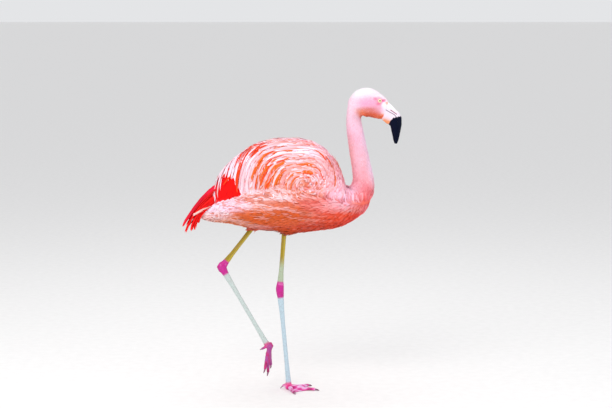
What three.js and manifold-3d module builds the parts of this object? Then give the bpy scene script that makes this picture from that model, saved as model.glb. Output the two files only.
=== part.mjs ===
// A Chilean flamingo, life size, walking: the right foot is planted, the left one is lifted behind it.
// Millimetres, +X ahead of the bird, +Y to its left, +Z up. The origin is on the sole of the planted foot.
// Every solid is drawn out to the tips of the plumage that covers it.
import * as THREE from "three";
import { mergeVertices } from "three/addons/utils/BufferGeometryUtils.js";
import Module from "manifold-3d";

const wasm = await Module();
wasm.setup();

// ---- Driving dimensions ----
const GAP = 0.3; // clearance between neighbouring solids
const FAR = 2000; // reach of the blocks that stand for half-spaces

const BREAST_X = 62; // where the breast is parted from the trunk
const RUMP_X = -132; // where the rump is parted from the trunk
const WING_SPLIT_X = -62; // where the long tertials leave the arm of the wing

const EYE = { x: 243.2, y: 11.6, z: 794.6, radius: 7.4 };

const SHANK_REACH = 23; // from the middle of an ankle to where tibia and tarsus begin
const FOOT_TOP = 9; // from the foot's joint to where the tarsus begins
const SOLE_FLAT = 0.35; // how far a round toe is pressed flat on its underside
const TOE = { length: 70, root: 5.6, tip: 3.9, swell: 0.5, claw: 10 };
const TOES = [
  { name: "outer", share: 0.82 },
  { name: "middle", share: 1.06 },
  { name: "inner", share: 0.92 },
];
const WEB = { thickness: 1.6, low: 0.7, reach: 0.82, scallop: 0.8 };

// ---- Colours ----
const COLOUR = {
  crown: 0xf8dfe6,
  neck: 0xf4b3c0,
  breast: 0xe8705f,
  trunk: 0xe58768,
  rump: 0xf2c6d2,
  wing: 0xf3b9ab,
  tertials: 0xf5cfcb,
  crimson: 0xe01812,
  tibia: 0xb5a37c,
  joint: 0xdd2f92,
  shank: 0xc9d6dc,
  foot: 0xe873c0,
  claw: 0x2a2326,
  billPale: 0xf3dfe4,
  billBlack: 0x151318,
  iris: 0xe9dc9c,
};

// ---- Solids ----

/** A closed geometry as a manifold solid, with its faces turned outwards. */
function solidOf(geometry) {
  const bare = geometry.clone();
  bare.deleteAttribute("normal");
  bare.deleteAttribute("uv");
  const merged = mergeVertices(bare, 1e-4);
  const triVerts = new Uint32Array(merged.index.array);
  const made = (turned) =>
    new wasm.Manifold(
      new wasm.Mesh({
        numProp: 3,
        vertProperties: merged.attributes.position.array,
        triVerts: turned,
      }),
    );
  const solid = made(triVerts);
  return solid.volume() > 0 ? solid : made(triVerts.reverse());
}

/** A manifold solid as a three.js geometry. */
function geometryOf(solid) {
  const mesh = solid.getMesh();
  const step = mesh.numProp;
  const positions = new Float32Array(mesh.numVert * 3);
  for (let i = 0; i < mesh.numVert; i += 1) {
    positions.set(mesh.vertProperties.subarray(i * step, i * step + 3), i * 3);
  }
  return new THREE.BufferGeometry()
    .setAttribute("position", new THREE.BufferAttribute(positions, 3))
    .setIndex(new THREE.BufferAttribute(mesh.triVerts, 1));
}

/** Rings that round off an end: [distance from the tip, share of the full section], from the tip inwards. */
function capRings(length) {
  if (length === 0) return [[0, 0], [0, 1]];
  return [0, 0.33, 0.66].map((turn) => {
    const angle = (turn * Math.PI) / 2;
    return [length * (1 - Math.cos(angle)), Math.sin(angle)];
  });
}

/**
 * A closed body of oval sections on a smooth centreline.
 * Each station is [x, y, z, depth, width, egg]: half-sizes in the plane of the bend and across it, and how
 * much wider the section is on its upper side. Caps are the lengths over which the two ends round off; 0 is a
 * flat end.
 */
function limb(stations, options = {}) {
  const { around = 16, steps = 2, caps = [6, 6], upright = false, grow = 0 } = options;
  const spans = stations.length - 1;
  const centres = stations.map(([x, y, z]) => new THREE.Vector3(x, y, z));
  const sizes = stations.map(([, , , a, b, egg = 0]) => new THREE.Vector3(a, b, egg));
  const centreline = new THREE.CatmullRomCurve3(centres, false, "catmullrom", 0.5);
  const sizing = new THREE.CatmullRomCurve3(sizes, false, "catmullrom", 0.5);
  const first = centres[0].distanceTo(centres[1]) * spans;
  const last = centres[spans].distanceTo(centres[spans - 1]) * spans;
  const rings = capRings(caps[0]).map(([distance, share]) => [distance / first, share]);
  for (let i = 1; i < spans * steps; i += 1) {
    const u = i / (spans * steps);
    if (u * first > caps[0] * 0.7 && (1 - u) * last > caps[1] * 0.7) rings.push([u, 1]);
  }
  const ending = capRings(caps[1]).reverse();
  rings.push(...ending.map(([distance, share]) => [1 - distance / last, share]));

  const geometry = new THREE.SphereGeometry(1, around, rings.length - 1);
  const position = geometry.getAttribute("position");
  const side = new THREE.Vector3();
  const up = new THREE.Vector3();
  const point = new THREE.Vector3();
  rings.forEach(([u, share], row) => {
    const centre = centreline.getPoint(u);
    const tangent = upright ? new THREE.Vector3(1, 0, 0) : centreline.getTangent(u);
    side.set(0, 1, 0).addScaledVector(tangent, -tangent.y).normalize();
    up.crossVectors(tangent, side);
    const size = sizing.getPoint(u);
    for (let j = 0; j <= around; j += 1) {
      const angle = (2 * Math.PI * (j % around)) / around;
      const rise = Math.cos(angle);
      const spread = Math.sin(angle) * (1 + size.z * rise);
      point
        .copy(centre)
        .addScaledVector(up, rise * share * (size.x + grow))
        .addScaledVector(side, spread * share * (size.y + grow));
      position.setXYZ(row * (around + 1) + j, point.x, point.y, point.z);
    }
  });
  return solidOf(geometry);
}

/** The half-space ahead of a plane through a point, moved back by a clearance. */
function ahead(point, normal, clearance = 0) {
  const direction = new THREE.Vector3(...normal).normalize();
  const block = new THREE.BoxGeometry(FAR, FAR, FAR);
  block.translate(0, 0, FAR / 2 + clearance);
  const turn = new THREE.Quaternion().setFromUnitVectors(new THREE.Vector3(0, 0, 1), direction);
  block.applyQuaternion(turn);
  block.translate(...point);
  return solidOf(block);
}

/** The half-space behind the same plane, with half of the gap kept clear. */
function behind(point, normal) {
  return ahead(point, normal.map((n) => -n), GAP / 2);
}

/** The largest of a solid's separate bodies. */
function largest(solid) {
  return solid.decompose().reduce((a, b) => (a.volume() > b.volume() ? a : b));
}

/** A flat outline in the X-Z plane, thickened evenly to both sides of Y = 0. */
function sideOutline(points, thickness) {
  const shape = new THREE.Shape(points.map(([x, z]) => new THREE.Vector2(x, z)));
  const slab = new THREE.ExtrudeGeometry(shape, { depth: thickness, bevelEnabled: false });
  slab.rotateX(Math.PI / 2);
  slab.translate(0, thickness / 2, 0);
  return solidOf(slab);
}

// ---- Scene graph ----
const flamingo = new THREE.Group();
flamingo.name = "flamingo";

/** Adds a solid to the bird as a named mesh. */
function addNode(name, solid, colour, roughness = 0.85) {
  const material = new THREE.MeshStandardMaterial({ color: colour, roughness, metalness: 0 });
  const mesh = new THREE.Mesh(geometryOf(solid), material);
  mesh.name = name;
  flamingo.add(mesh);
}

// ---- Body: rows of [x, belly height, back height, half-width, egg] ----
const TRUNK_ROWS = [
  [-247, 474, 494, 11, 0],
  [-230, 468, 510, 22, 0],
  [-200, 464, 538, 34, 0],
  [-165, 460, 588, 46, -0.04],
  [-118, 449, 641, 63, -0.08],
  [-68, 439, 677, 77, -0.1],
  [-15, 433, 688, 86, -0.1],
  [40, 435, 687, 90, -0.08],
  [84, 442, 670, 92, -0.04],
  [112, 445, 650, 87, 0],
  [131, 449, 626, 81, 0],
  [144, 453, 594, 75, 0],
  [156, 459, 566, 68, 0],
  [178, 470, 558, 56, 0],
  [206, 492, 560, 40, 0],
  [228, 522, 560, 20, 0],
];

/** The body under the wings, from the vent to the front of the breast. */
function trunkWhole(grow = 0) {
  const stations = TRUNK_ROWS.map(([x, belly, back, width, egg]) => {
    return [x, 0, (belly + back) / 2, (back - belly) / 2, width, egg];
  });
  return limb(stations, { around: 18, steps: 1, caps: [10, 12], upright: true, grow });
}

// ---- Neck and head ----
const NECK_STATIONS = [
  [120, 0, 520, 46, 50],
  [163, 0, 515, 47, 48],
  [190, 0, 535, 40, 37],
  [201, 0, 570, 31, 28.5],
  [198, 0, 604, 28, 25.5],
  [187.5, 0, 659, 25.4, 22.5],
  [177.5, 0, 716, 23, 20.6],
  [174, 0, 752, 20.2, 19.4],
  [181, 0, 779, 22.5, 20],
  [194, 0, 796, 25, 21.5],
];

const HEAD_STATIONS = [
  [161, 0, 775, 14, 14],
  [183, 0, 786, 30, 21],
  [199, 0, 791, 38, 24],
  [214, 0, 790, 39.6, 24.6],
  [232, 0, 782, 35.8, 22.4],
  [247.5, 0, 774, 31.2, 18.8],
  [258, 0, 769.5, 27.4, 16.4],
  [272, 0, 762, 24, 14.6],
];

const NECK_CUTS = {
  base: { point: [196, 0, 553], normal: [0.12, 0, 1] },
  lower: { point: [193, 0, 628], normal: [-0.18, 0, 1] },
  upper: { point: [182, 0, 692], normal: [-0.17, 0, 1] },
  head: { point: [196, 0, 752], normal: [0.42, 0, 0.91] },
  bill: { point: [261, 0, 769], normal: [0.96, 0, -0.27] },
};

/** Everything from the breast to the plane where feathers end and the bill begins. */
function neckAndHead() {
  const neck = limb(NECK_STATIONS, { around: 12, steps: 2, caps: [14, 12] });
  const head = limb(HEAD_STATIONS, { around: 14, steps: 2, caps: [10, 4] });
  return neck.add(head);
}

// ---- Bill ----
const BILL_STATIONS = [
  [252, 0, 772, 24.4, 15],
  [262.9, 0, 763.7, 23.4, 14.4],
  [275.3, 0, 751.8, 22.2, 13.8],
  [280.8, 0, 747, 22.4, 13.6],
  [285.4, 0, 741, 20.4, 13.4],
  [289, 0, 728, 15.6, 12.6],
  [288.8, 0, 713, 12.6, 11.2],
  [289, 0, 700, 9.7, 8.6],
  [288.8, 0, 689, 7.4, 5.9],
  [288.6, 0, 677.8, 3.9, 3.4],
];
// Line of the mouth: from the corner, down over the bend, to the tip.
const GAPE = [
  [240, 783],
  [262, 770],
  [272, 764],
  [284, 757.5],
  [291, 748],
  [293.5, 733],
  [292.5, 714],
  [289.5, 695],
  [285.5, 660],
];

/** The space on the upper mandible's side of the mouth, moved by a clearance. */
function upperSideOfGape(clearance) {
  const line = GAPE.map(([x, z]) => [x - clearance, z - 0.8 * clearance]);
  return sideOutline([...line, [340, 660], [340, 830], [240, 830]], 60);
}

// ---- Wings: rows of [x, low edge, top, middle from the midline, half-width] ----
const WING_EGG = -0.2; // how much the folded wing narrows towards the back
const WING_ROWS = [
  [128, 556, 612, 54, 14],
  [104, 532, 663, 48, 38],
  [66, 526, 684, 40, 59],
  [20, 536, 693, 35, 66],
  [-28, 547, 693, 32, 64],
  [-72, 540, 687, 28, 57],
  [-112, 524, 667, 24, 47],
  [-146, 516, 645, 20, 36],
  [-174, 510, 619, 18, 28],
  [-195, 505, 587, 17, 21],
  [-209, 507, 552, 17, 13],
];

/** One wing's plumage: the folded arm ahead and the long drooping tertials behind. */
function wingWhole(side, grow = 0) {
  const stations = WING_ROWS.map(([x, low, top, middle, width]) => {
    return [x, side * middle, (low + top) / 2, (top - low) / 2, width, WING_EGG];
  });
  const bulk = limb(stations, { around: 16, steps: 1, caps: [12, 8], upright: true, grow });
  return bulk.intersect(ahead([0, 0, 0], [0, side, 0], GAP / 2));
}

// ---- Tail and the crimson plumes that hang over it ----
const TAIL_STATIONS = [
  [-214, 0, 497, 15, 34],
  [-236, 0, 489, 12, 32],
  [-254, 0, 481, 8.5, 28],
  [-268, 0, 474, 4, 20],
];

const PLUME_STATIONS = [
  [-160, 20, 556, 34, 18],
  [-194, 21, 545, 27, 17],
  [-222, 19, 524, 20, 14],
  [-245, 16, 496, 17.5, 11],
  [-262, 13, 471, 15.5, 8],
  [-275, 11, 453, 11, 5],
  [-284, 10, 439, 5.5, 2.5],
];

// ---- Legs: the centre of each joint, and the way each foot is set ----
const DEGREE = Math.PI / 180;
const LEGS = {
  right: {
    hip: [18, -42, 482],
    sleeve: [-14, -15, 434],
    ankle: [-26, -8, 280],
    foot: [-2, 0, 11],
    heelSwell: 11,
    bearings: [-76, -13, 34],
    place: new THREE.Matrix4(),
    hallux: [
      [-4, 3, 13],
      [-12, 6, 11.5],
      [-19, 8.5, 7.5],
      [-25.5, 10.5, 0.6],
    ],
  },
  left: {
    hip: [-52, 44, 490],
    sleeve: [-104, 34, 441],
    ankle: [-186, 28, 336],
    foot: [-60, 25, 117],
    heelSwell: 14,
    bearings: [14, 1, -12],
    place: new THREE.Matrix4()
      .makeTranslation(-61.5, 25, 115)
      .multiply(new THREE.Matrix4().makeRotationZ(-36 * DEGREE))
      .multiply(new THREE.Matrix4().makeRotationY(92 * DEGREE)),
    hallux: [
      [-63, 24, 116],
      [-70, 23, 111.5],
      [-77, 22, 108.5],
      [-82, 21.5, 106],
    ],
  },
};
// Rows of [share of the way down, depth, width].
const TIBIA_ROWS = [
  [0, 6.7, 6.2],
  [0.45, 6, 5.4],
  [0.8, 6.6, 5.7],
  [1, 8.4, 7],
];
const TARSUS_ROWS = [
  [0, 8.8, 7.4],
  [0.14, 7, 6],
  [0.3, 5.9, 5],
  [0.7, 5.8, 4.8],
  [0.9, 6.8, 6],
  [1, 8.6, 8.2],
];

/** The point a distance along the way from one joint to another. */
function along(from, to, distance) {
  const start = new THREE.Vector3(...from);
  const way = new THREE.Vector3(...to).sub(start).normalize();
  return start.addScaledVector(way, distance).toArray();
}

/** The direction from one joint to another. */
function direction(from, to) {
  return new THREE.Vector3(...to).sub(new THREE.Vector3(...from)).normalize().toArray();
}

/** A straight length between two points, from rows of [share of the way, depth, width]. */
function shank(from, to, rows, options) {
  const whole = new THREE.Vector3(...from).distanceTo(new THREE.Vector3(...to));
  const stations = rows.map(([share, ...size]) => [...along(from, to, share * whole), ...size]);
  return limb(stations, options);
}

/** The feathered top of a leg, clear of the body, and cut square where the bare leg leaves it. */
function thighOf(leg, sleeveCut) {
  const rows = [
    [0, 38, 27],
    [0.5, 29, 22],
    [0.82, 15, 13],
    [1, 9, 8.4],
  ];
  const whole = shank(leg.hip, leg.sleeve, rows, { around: 16, steps: 2, caps: [20, 0] });
  return largest(whole.intersect(behind(...sleeveCut)).subtract(trunkWhole(GAP)));
}

/** The thick joint between tibia and tarsus. */
function ankleOf(leg, above, below) {
  const upper = along(leg.ankle, above, SHANK_REACH / 2);
  const lower = along(leg.ankle, below, SHANK_REACH / 2);
  const stations = [
    [...above, 8.2, 6.8],
    [...upper, 10.2, 8.6],
    [...leg.ankle, leg.heelSwell, 9.6],
    [...lower, 10.2, 8.8],
    [...below, 8.6, 7.2],
  ];
  return limb(stations, { around: 10, steps: 2, caps: [0, 0] });
}

// ---- Feet: built with the toes along +X and the sole at z = 0, then set in place ----
const GROUND = ahead([0, 0, 0], [0, 0, 1]); // everything above the floor

/** A toe's centreline, pressed flat under each pad. */
function toeOf(bearing, length) {
  const stations = [0, 0.3, 0.64, 1].map((share, i) => {
    const swell = i % 2 === 1 ? TOE.swell : 0;
    const radius = THREE.MathUtils.lerp(TOE.root, TOE.tip, share) + swell;
    const lift = i === 0 ? 4 : 0;
    const reach = share * length;
    const x = reach * Math.cos(bearing);
    const y = reach * Math.sin(bearing);
    return [x, y, radius - SOLE_FLAT + lift, radius, 1.08 * radius];
  });
  return limb(stations, { around: 8, steps: 1, caps: [0, 4] });
}

/** The short curved claw on the end of a toe, with its point on the ground. */
function clawOf(bearing, length, grow = 0) {
  const stations = [
    [-2, 3.9, 2.6],
    [0.5 * TOE.claw, 2.6, 2.2],
    [TOE.claw, 0.7, 0.8],
  ].map(([further, height, radius]) => {
    const reach = length + further;
    return [reach * Math.cos(bearing), reach * Math.sin(bearing), height, radius, radius];
  });
  return limb(stations, { around: 6, steps: 1, caps: [0, 0], grow }).intersect(GROUND);
}

/** The web between two toes: a thin sheet with a scalloped front edge. */
function webOf(toeA, toeB) {
  const corner = ({ bearing, length }) => {
    return new THREE.Vector2(Math.cos(bearing), Math.sin(bearing)).multiplyScalar(length * WEB.reach);
  };
  const a = corner(toeA);
  const b = corner(toeB);
  const dip = a.clone().add(b).multiplyScalar(0.5 * WEB.scallop);
  const outline = new THREE.Shape();
  outline.moveTo(0, 0);
  outline.lineTo(a.x, a.y);
  outline.quadraticCurveTo(dip.x, dip.y, b.x, b.y);
  outline.closePath();
  const sheet = new THREE.ExtrudeGeometry(outline, {
    depth: WEB.thickness,
    bevelEnabled: false,
    curveSegments: 3,
  });
  sheet.translate(0, 0, WEB.low);
  return solidOf(sheet);
}

/** The hind toe, or its claw, on a centreline already in place. */
function halluxOf(points, radii, grow = 0) {
  const stations = points.map((point, i) => [...point, radii[i], radii[i]]);
  return limb(stations, { around: 8, steps: 1, caps: [0, 0], grow });
}

/** Pad, toes and webs of one foot, with the sole cut flat. */
function footOf(leg, toes) {
  const pad = limb(
    [
      [-13, 0, 5.6, 6.4, 7],
      [-3, 0, 8.6, 10.4, 10.4],
      [8, 0, 6.2, 8, 10],
    ],
    { around: 10, steps: 1, caps: [5, 5] },
  );
  let foot = pad;
  toes.forEach((toe, i) => {
    foot = foot.add(toeOf(toe.bearing, toe.length));
    if (i > 0) foot = foot.add(webOf(toes[i - 1], toe));
  });
  return foot.intersect(GROUND).transform(leg.place.elements);
}

/** All the nodes of one leg, from the feathered thigh to the claws. */
function buildLeg(side, leg) {
  const above = along(leg.ankle, leg.sleeve, SHANK_REACH);
  const below = along(leg.ankle, leg.foot, SHANK_REACH);
  const footTop = along(leg.foot, leg.ankle, FOOT_TOP);
  const sleeveCut = [leg.sleeve, direction(leg.hip, leg.ankle)];
  const upperCut = [above, direction(leg.ankle, leg.sleeve)];
  const lowerCut = [below, direction(leg.ankle, leg.foot)];
  const footCut = [footTop, direction(leg.foot, leg.ankle)];

  addNode(`thigh_${side}`, thighOf(leg, sleeveCut), COLOUR.trunk);
  const tibia = shank(leg.sleeve, above, TIBIA_ROWS, { around: 10, steps: 1, caps: [0, 0] });
  const bareTibia = tibia.intersect(ahead(...sleeveCut, GAP)).intersect(ahead(...upperCut, GAP / 2));
  addNode(`tibia_${side}`, bareTibia, COLOUR.tibia, 0.5);
  const ankle = ankleOf(leg, above, below).intersect(behind(...upperCut)).intersect(behind(...lowerCut));
  addNode(`ankle_${side}`, ankle, COLOUR.joint, 0.5);
  const tarsus = shank(below, leg.foot, TARSUS_ROWS, { around: 10, steps: 1, caps: [0, 0] });
  const bareTarsus = tarsus.intersect(ahead(...lowerCut, GAP / 2)).intersect(ahead(...footCut, GAP / 2));
  addNode(`tarsus_${side}`, bareTarsus, COLOUR.shank, 0.5);

  const toes = TOES.map((toe, i) => {
    return { name: toe.name, bearing: leg.bearings[i] * DEGREE, length: toe.share * TOE.length };
  });
  const [root, middle, tip, point] = leg.hallux;
  const hindPoints = [root, middle, tip];
  const hindRadii = [4.4, 3.6, 3];
  const nailPoints = [along(tip, middle, 2), along(tip, point, 2), point];
  const nailRadii = [2, 1.7, 0.7];
  const knuckle = limb(
    [
      [...leg.foot, 8.8, 8.8],
      [...footTop, 8.4, 8],
      [...along(leg.foot, leg.ankle, 2 * FOOT_TOP), 8, 7.4],
    ],
    { around: 8, steps: 1, caps: [5, 0] },
  );
  let foot = footOf(leg, toes).add(knuckle).intersect(behind(...footCut));
  foot = foot.subtract(halluxOf(hindPoints, hindRadii, GAP));
  toes.forEach(({ name, bearing, length }) => {
    const claw = clawOf(bearing, length).transform(leg.place.elements);
    addNode(`claw_${name}_${side}`, claw, COLOUR.claw, 0.35);
    foot = foot.subtract(clawOf(bearing, length, GAP).transform(leg.place.elements));
  });
  addNode(`foot_${side}`, largest(foot), COLOUR.foot, 0.5);
  const hind = halluxOf(hindPoints, hindRadii).subtract(halluxOf(nailPoints, nailRadii, GAP));
  addNode(`hallux_${side}`, hind.intersect(behind(...footCut)), COLOUR.foot, 0.5);
  addNode(`claw_hallux_${side}`, halluxOf(nailPoints, nailRadii).intersect(GROUND), COLOUR.claw, 0.35);
}

// ---- The whole bird ----

/** Breast, trunk and rump: the body under the wings, parted by two upright planes. */
function buildBody(lowNeck) {
  const whole = trunkWhole().add(lowNeck);
  const breastCut = [[BREAST_X, 0, 0], [1, 0, 0]];
  const rumpCut = [[RUMP_X, 0, 0], [-1, 0, 0]];
  addNode("breast", whole.intersect(ahead(...breastCut, GAP / 2)), COLOUR.breast);
  const middle = whole.intersect(behind(...breastCut)).intersect(behind(...rumpCut));
  addNode("trunk", middle, COLOUR.trunk);
  addNode("rump", whole.intersect(ahead(...rumpCut, GAP / 2)), COLOUR.rump);
}

/** The three lengths of the neck and the head, parted by planes across them. */
function buildNeckAndHead(whole, eyes) {
  const { base, lower, upper, head, bill } = NECK_CUTS;
  const clear = whole.subtract(trunkWhole(GAP));
  const length = (from, to) => {
    const cut = clear.intersect(ahead(from.point, from.normal, GAP / 2));
    return largest(cut.intersect(behind(to.point, to.normal)));
  };
  addNode("neck_lower", length(base, lower), COLOUR.neck);
  addNode("neck_middle", length(lower, upper), COLOUR.neck);
  addNode("neck_upper", length(upper, head), COLOUR.neck);
  addNode("head", length(head, bill).subtract(eyes), COLOUR.crown);
}

/** The two mandibles, parted along the line of the mouth. */
function buildBill() {
  const { point, normal } = NECK_CUTS.bill;
  const whole = limb(BILL_STATIONS, { around: 14, steps: 1, caps: [0, 2.5] });
  const clear = whole.intersect(ahead(point, normal, GAP / 2));
  addNode("bill_upper", clear.intersect(upperSideOfGape(0)), COLOUR.billPale, 0.4);
  addNode("bill_lower", largest(clear.subtract(upperSideOfGape(GAP))), COLOUR.billBlack, 0.4);
}

/** An eyeball, set in the side of the head. */
function eyeball(side, grow = 0) {
  const ball = new THREE.SphereGeometry(EYE.radius + grow, 10, 6);
  ball.translate(EYE.x, side * EYE.y, EYE.z);
  return solidOf(ball);
}

/** Both wings, the tail and the crimson plumes, each clear of what lies under it. */
function buildPlumage(neck) {
  const body = trunkWhole(GAP).add(neck);
  const armCut = [[WING_SPLIT_X, 0, 600], [1, 0, 0.35]];
  const plumeStations = (side) => PLUME_STATIONS.map(([x, y, ...rest]) => [x, side * y, ...rest]);
  let overTail = null;
  [["right", -1], ["left", 1]].forEach(([name, side]) => {
    const wing = wingWhole(side).subtract(body);
    addNode(`wing_${name}`, largest(wing.intersect(ahead(...armCut, GAP / 2))), COLOUR.wing);
    addNode(`tertials_${name}`, largest(wing.intersect(behind(...armCut))), COLOUR.tertials);
    const midline = ahead([0, 0, 0], [0, side, 0], GAP / 2);
    const plumes = limb(plumeStations(side), { around: 8, steps: 1, caps: [8, 4] }).intersect(midline);
    const clear = plumes.subtract(body).subtract(wingWhole(side, GAP));
    addNode(`plumes_${name}`, largest(clear), COLOUR.crimson);
    const grown = limb(plumeStations(side), { around: 8, steps: 1, caps: [8, 4], grow: GAP });
    overTail = overTail ? overTail.add(grown) : grown;
  });
  const tail = limb(TAIL_STATIONS, { around: 14, steps: 1, caps: [0, 3], upright: true });
  addNode("tail", largest(tail.subtract(body).subtract(overTail)), COLOUR.rump);
}

const plumed = neckAndHead();
const eyeSockets = eyeball(-1, GAP).add(eyeball(1, GAP));
buildNeckAndHead(plumed, eyeSockets);
buildBill();
addNode("eye_right", eyeball(-1), COLOUR.iris, 0.1);
addNode("eye_left", eyeball(1), COLOUR.iris, 0.1);
buildBody(plumed.intersect(behind(NECK_CUTS.base.point, NECK_CUTS.base.normal)));
buildPlumage(limb(NECK_STATIONS, { around: 12, steps: 2, caps: [14, 12], grow: GAP }));
Object.entries(LEGS).forEach(([side, leg]) => buildLeg(side, leg));

export default flamingo;
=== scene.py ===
"""A life-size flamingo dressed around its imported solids: one skin, horn, eyes and a full plumage.

Everything is in metres in the bird's own frame: +X ahead, +Y to its left, +Z up. The solids reach out to the
feather tips, so the skin lies inside them by the depth of the plumage, and the feathers fill what is between.
"""

import logging
import math
from dataclasses import dataclass, field
from enum import Enum
from typing import Callable, Sequence

import bmesh
import bpy
import numpy as np
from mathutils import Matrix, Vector
from mathutils.bvhtree import BVHTree
from numpy.linalg import norm


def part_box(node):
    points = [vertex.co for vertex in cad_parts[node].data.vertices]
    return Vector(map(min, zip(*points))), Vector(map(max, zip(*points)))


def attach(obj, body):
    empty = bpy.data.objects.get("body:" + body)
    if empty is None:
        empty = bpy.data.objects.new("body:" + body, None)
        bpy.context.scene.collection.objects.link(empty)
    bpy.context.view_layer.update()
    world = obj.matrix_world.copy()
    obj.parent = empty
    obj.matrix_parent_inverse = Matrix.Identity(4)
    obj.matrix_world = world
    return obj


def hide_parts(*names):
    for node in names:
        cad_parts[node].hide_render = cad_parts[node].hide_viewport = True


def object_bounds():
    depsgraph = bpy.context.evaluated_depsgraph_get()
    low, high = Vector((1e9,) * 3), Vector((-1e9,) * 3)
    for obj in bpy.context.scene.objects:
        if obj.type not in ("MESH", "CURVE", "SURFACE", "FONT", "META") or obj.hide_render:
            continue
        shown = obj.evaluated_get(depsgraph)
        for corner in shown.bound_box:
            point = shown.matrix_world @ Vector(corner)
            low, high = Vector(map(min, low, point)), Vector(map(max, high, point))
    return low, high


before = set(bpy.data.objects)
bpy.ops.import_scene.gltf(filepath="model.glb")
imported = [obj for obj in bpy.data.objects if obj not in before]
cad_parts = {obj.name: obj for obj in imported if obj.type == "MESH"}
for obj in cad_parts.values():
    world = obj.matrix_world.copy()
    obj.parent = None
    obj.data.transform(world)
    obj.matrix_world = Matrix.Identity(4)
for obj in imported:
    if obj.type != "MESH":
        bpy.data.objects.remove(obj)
CAD_BOX = [list(corner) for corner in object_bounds()]
LOG = logging.getLogger("flamingo")

Array = np.ndarray
Point = tuple[float, float, float]
Inputs = dict[str | int, object]
Rows = tuple[tuple[float, ...], ...]
Piece = bpy.types.Object
Mesh = bpy.types.Mesh
Node = bpy.types.Node
Socket = bpy.types.NodeSocket
MM = 0.001

SLIP = 0.6  # how far off the skin a feather's step may end, as a share of its length
LEG_REACH = 13 * MM  # how far a leg's skin is from its bones at the most
BARE_FROM = 12 * MM  # how far over the thigh's lower end a leg is bare
FOLLOW = 0.6  # how closely a feather follows the lie at each step: 1 is wholly, 0 keeps its first direction
SHARP_EDGE = 55.0  # degrees, above which an edge of a feather stays sharp
UV_PATCH = 0.0015  # half the side of a feather's patch on the bake map
NARROWEST = 0.12  # the least breadth of a feather's ring, as a share of its widest
TRIES = 6.0  # places tried over the skin for each feather wanted
CLOSEST = 0.82  # the least gap between roots, as a share of the spacing
THROAT_LINE = 0.73  # the height of the lowest part of the face
CHEEK_HEIGHT = 0.74  # the height over which the face has lids, folds and bare skin


# ---- Small tools ----


def smooth(value: Array, low: float, high: float) -> Array:
    """Rises smoothly from 0 at low to 1 at high (or falls, if high is below low)."""
    share = np.clip((value - low) / (high - low), 0.0, 1.0)
    return share * share * (3.0 - 2.0 * share)


def unit(vectors: Array) -> Array:
    """The same vectors with a length of one."""
    return vectors / np.maximum(norm(vectors, axis=-1, keepdims=True), 1e-12)


def joined(*parts: Array) -> Array:
    """Rows that hold one number, or one point, from each part."""
    return np.stack(parts, axis=-1)


def blend(low: Array, high: Array, share: Array) -> Array:
    """Mixes two sets of colours or vectors, point by point."""
    return low + (high - low) * share[..., None]


def linear(code: str) -> Array:
    """A display colour, written as six hexadecimal digits, as linear red, green and blue."""
    value = np.array([int(code[i : i + 2], 16) for i in (0, 2, 4)]) / 255.0
    return np.where(value <= 0.04045, value / 12.92, ((value + 0.055) / 1.055) ** 2.4)


def gap_to(line: Sequence[Sequence[float]], points: Array) -> Array:
    """Measures how far points are from a line of straight pieces, in two or three dimensions.

    Args:
        line: The line's corners.
        points: Rows of coordinates.

    Returns:
        A distance for each point.
    """
    gaps = []
    for start, end in zip(line, line[1:]):
        a, b = np.array(start), np.array(end)
        share = np.clip(((points - a) @ (b - a)) / ((b - a) @ (b - a)), 0.0, 1.0)
        gaps.append(norm(points - a - share[:, None] * (b - a), axis=1))
    return np.min(gaps, axis=0)


def link(name: str, mesh: Mesh) -> Piece:
    """Puts a mesh in the scene as a named piece at the origin."""
    mesh.name = name
    piece = bpy.data.objects.new(name, mesh)
    bpy.context.scene.collection.objects.link(piece)
    return piece


def settled(piece: Piece) -> None:
    """Replaces a piece's mesh by what its modifiers make of it.

    Args:
        piece: The piece.
    """
    graph = bpy.context.evaluated_depsgraph_get()
    mesh = bpy.data.meshes.new_from_object(piece.evaluated_get(graph))
    mesh.materials.clear()
    piece.modifiers.clear()
    old = piece.data
    piece.data = mesh
    bpy.data.meshes.remove(old)


def points_of(mesh: Mesh, what: str = "co") -> Array:
    """A mesh's vertices, or their normals, as rows of x, y, z."""
    flat = np.empty(len(mesh.vertices) * 3, np.float32)
    mesh.vertices.foreach_get(what, flat)
    return flat.reshape(-1, 3).astype(float)


def normals_of(mesh: Mesh) -> Array:
    """A mesh's vertex normals as unit vectors."""
    return unit(points_of(mesh, "normal"))


def place_points(mesh: Mesh, points: Array) -> None:
    """Moves a mesh's vertices to new places."""
    mesh.vertices.foreach_set("co", points.astype(np.float32).ravel())
    mesh.update()


def store(mesh: Mesh, name: str, kind: str, values: Array) -> None:
    """Keeps one value for each vertex under a name that materials read.

    Args:
        mesh: The mesh that gets the attribute.
        name: The attribute's name.
        kind: FLOAT, FLOAT_VECTOR or FLOAT_COLOR.
        values: A row of numbers for each vertex.
    """
    layer = mesh.attributes.new(name, kind, "POINT")
    if kind == "FLOAT_COLOR":
        values = np.concatenate([values, np.ones((len(values), 1))], axis=1)
    slot = {"FLOAT": "value", "FLOAT_VECTOR": "vector", "FLOAT_COLOR": "color"}[kind]
    layer.data.foreach_set(slot, np.ascontiguousarray(values, np.float32).ravel())


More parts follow.
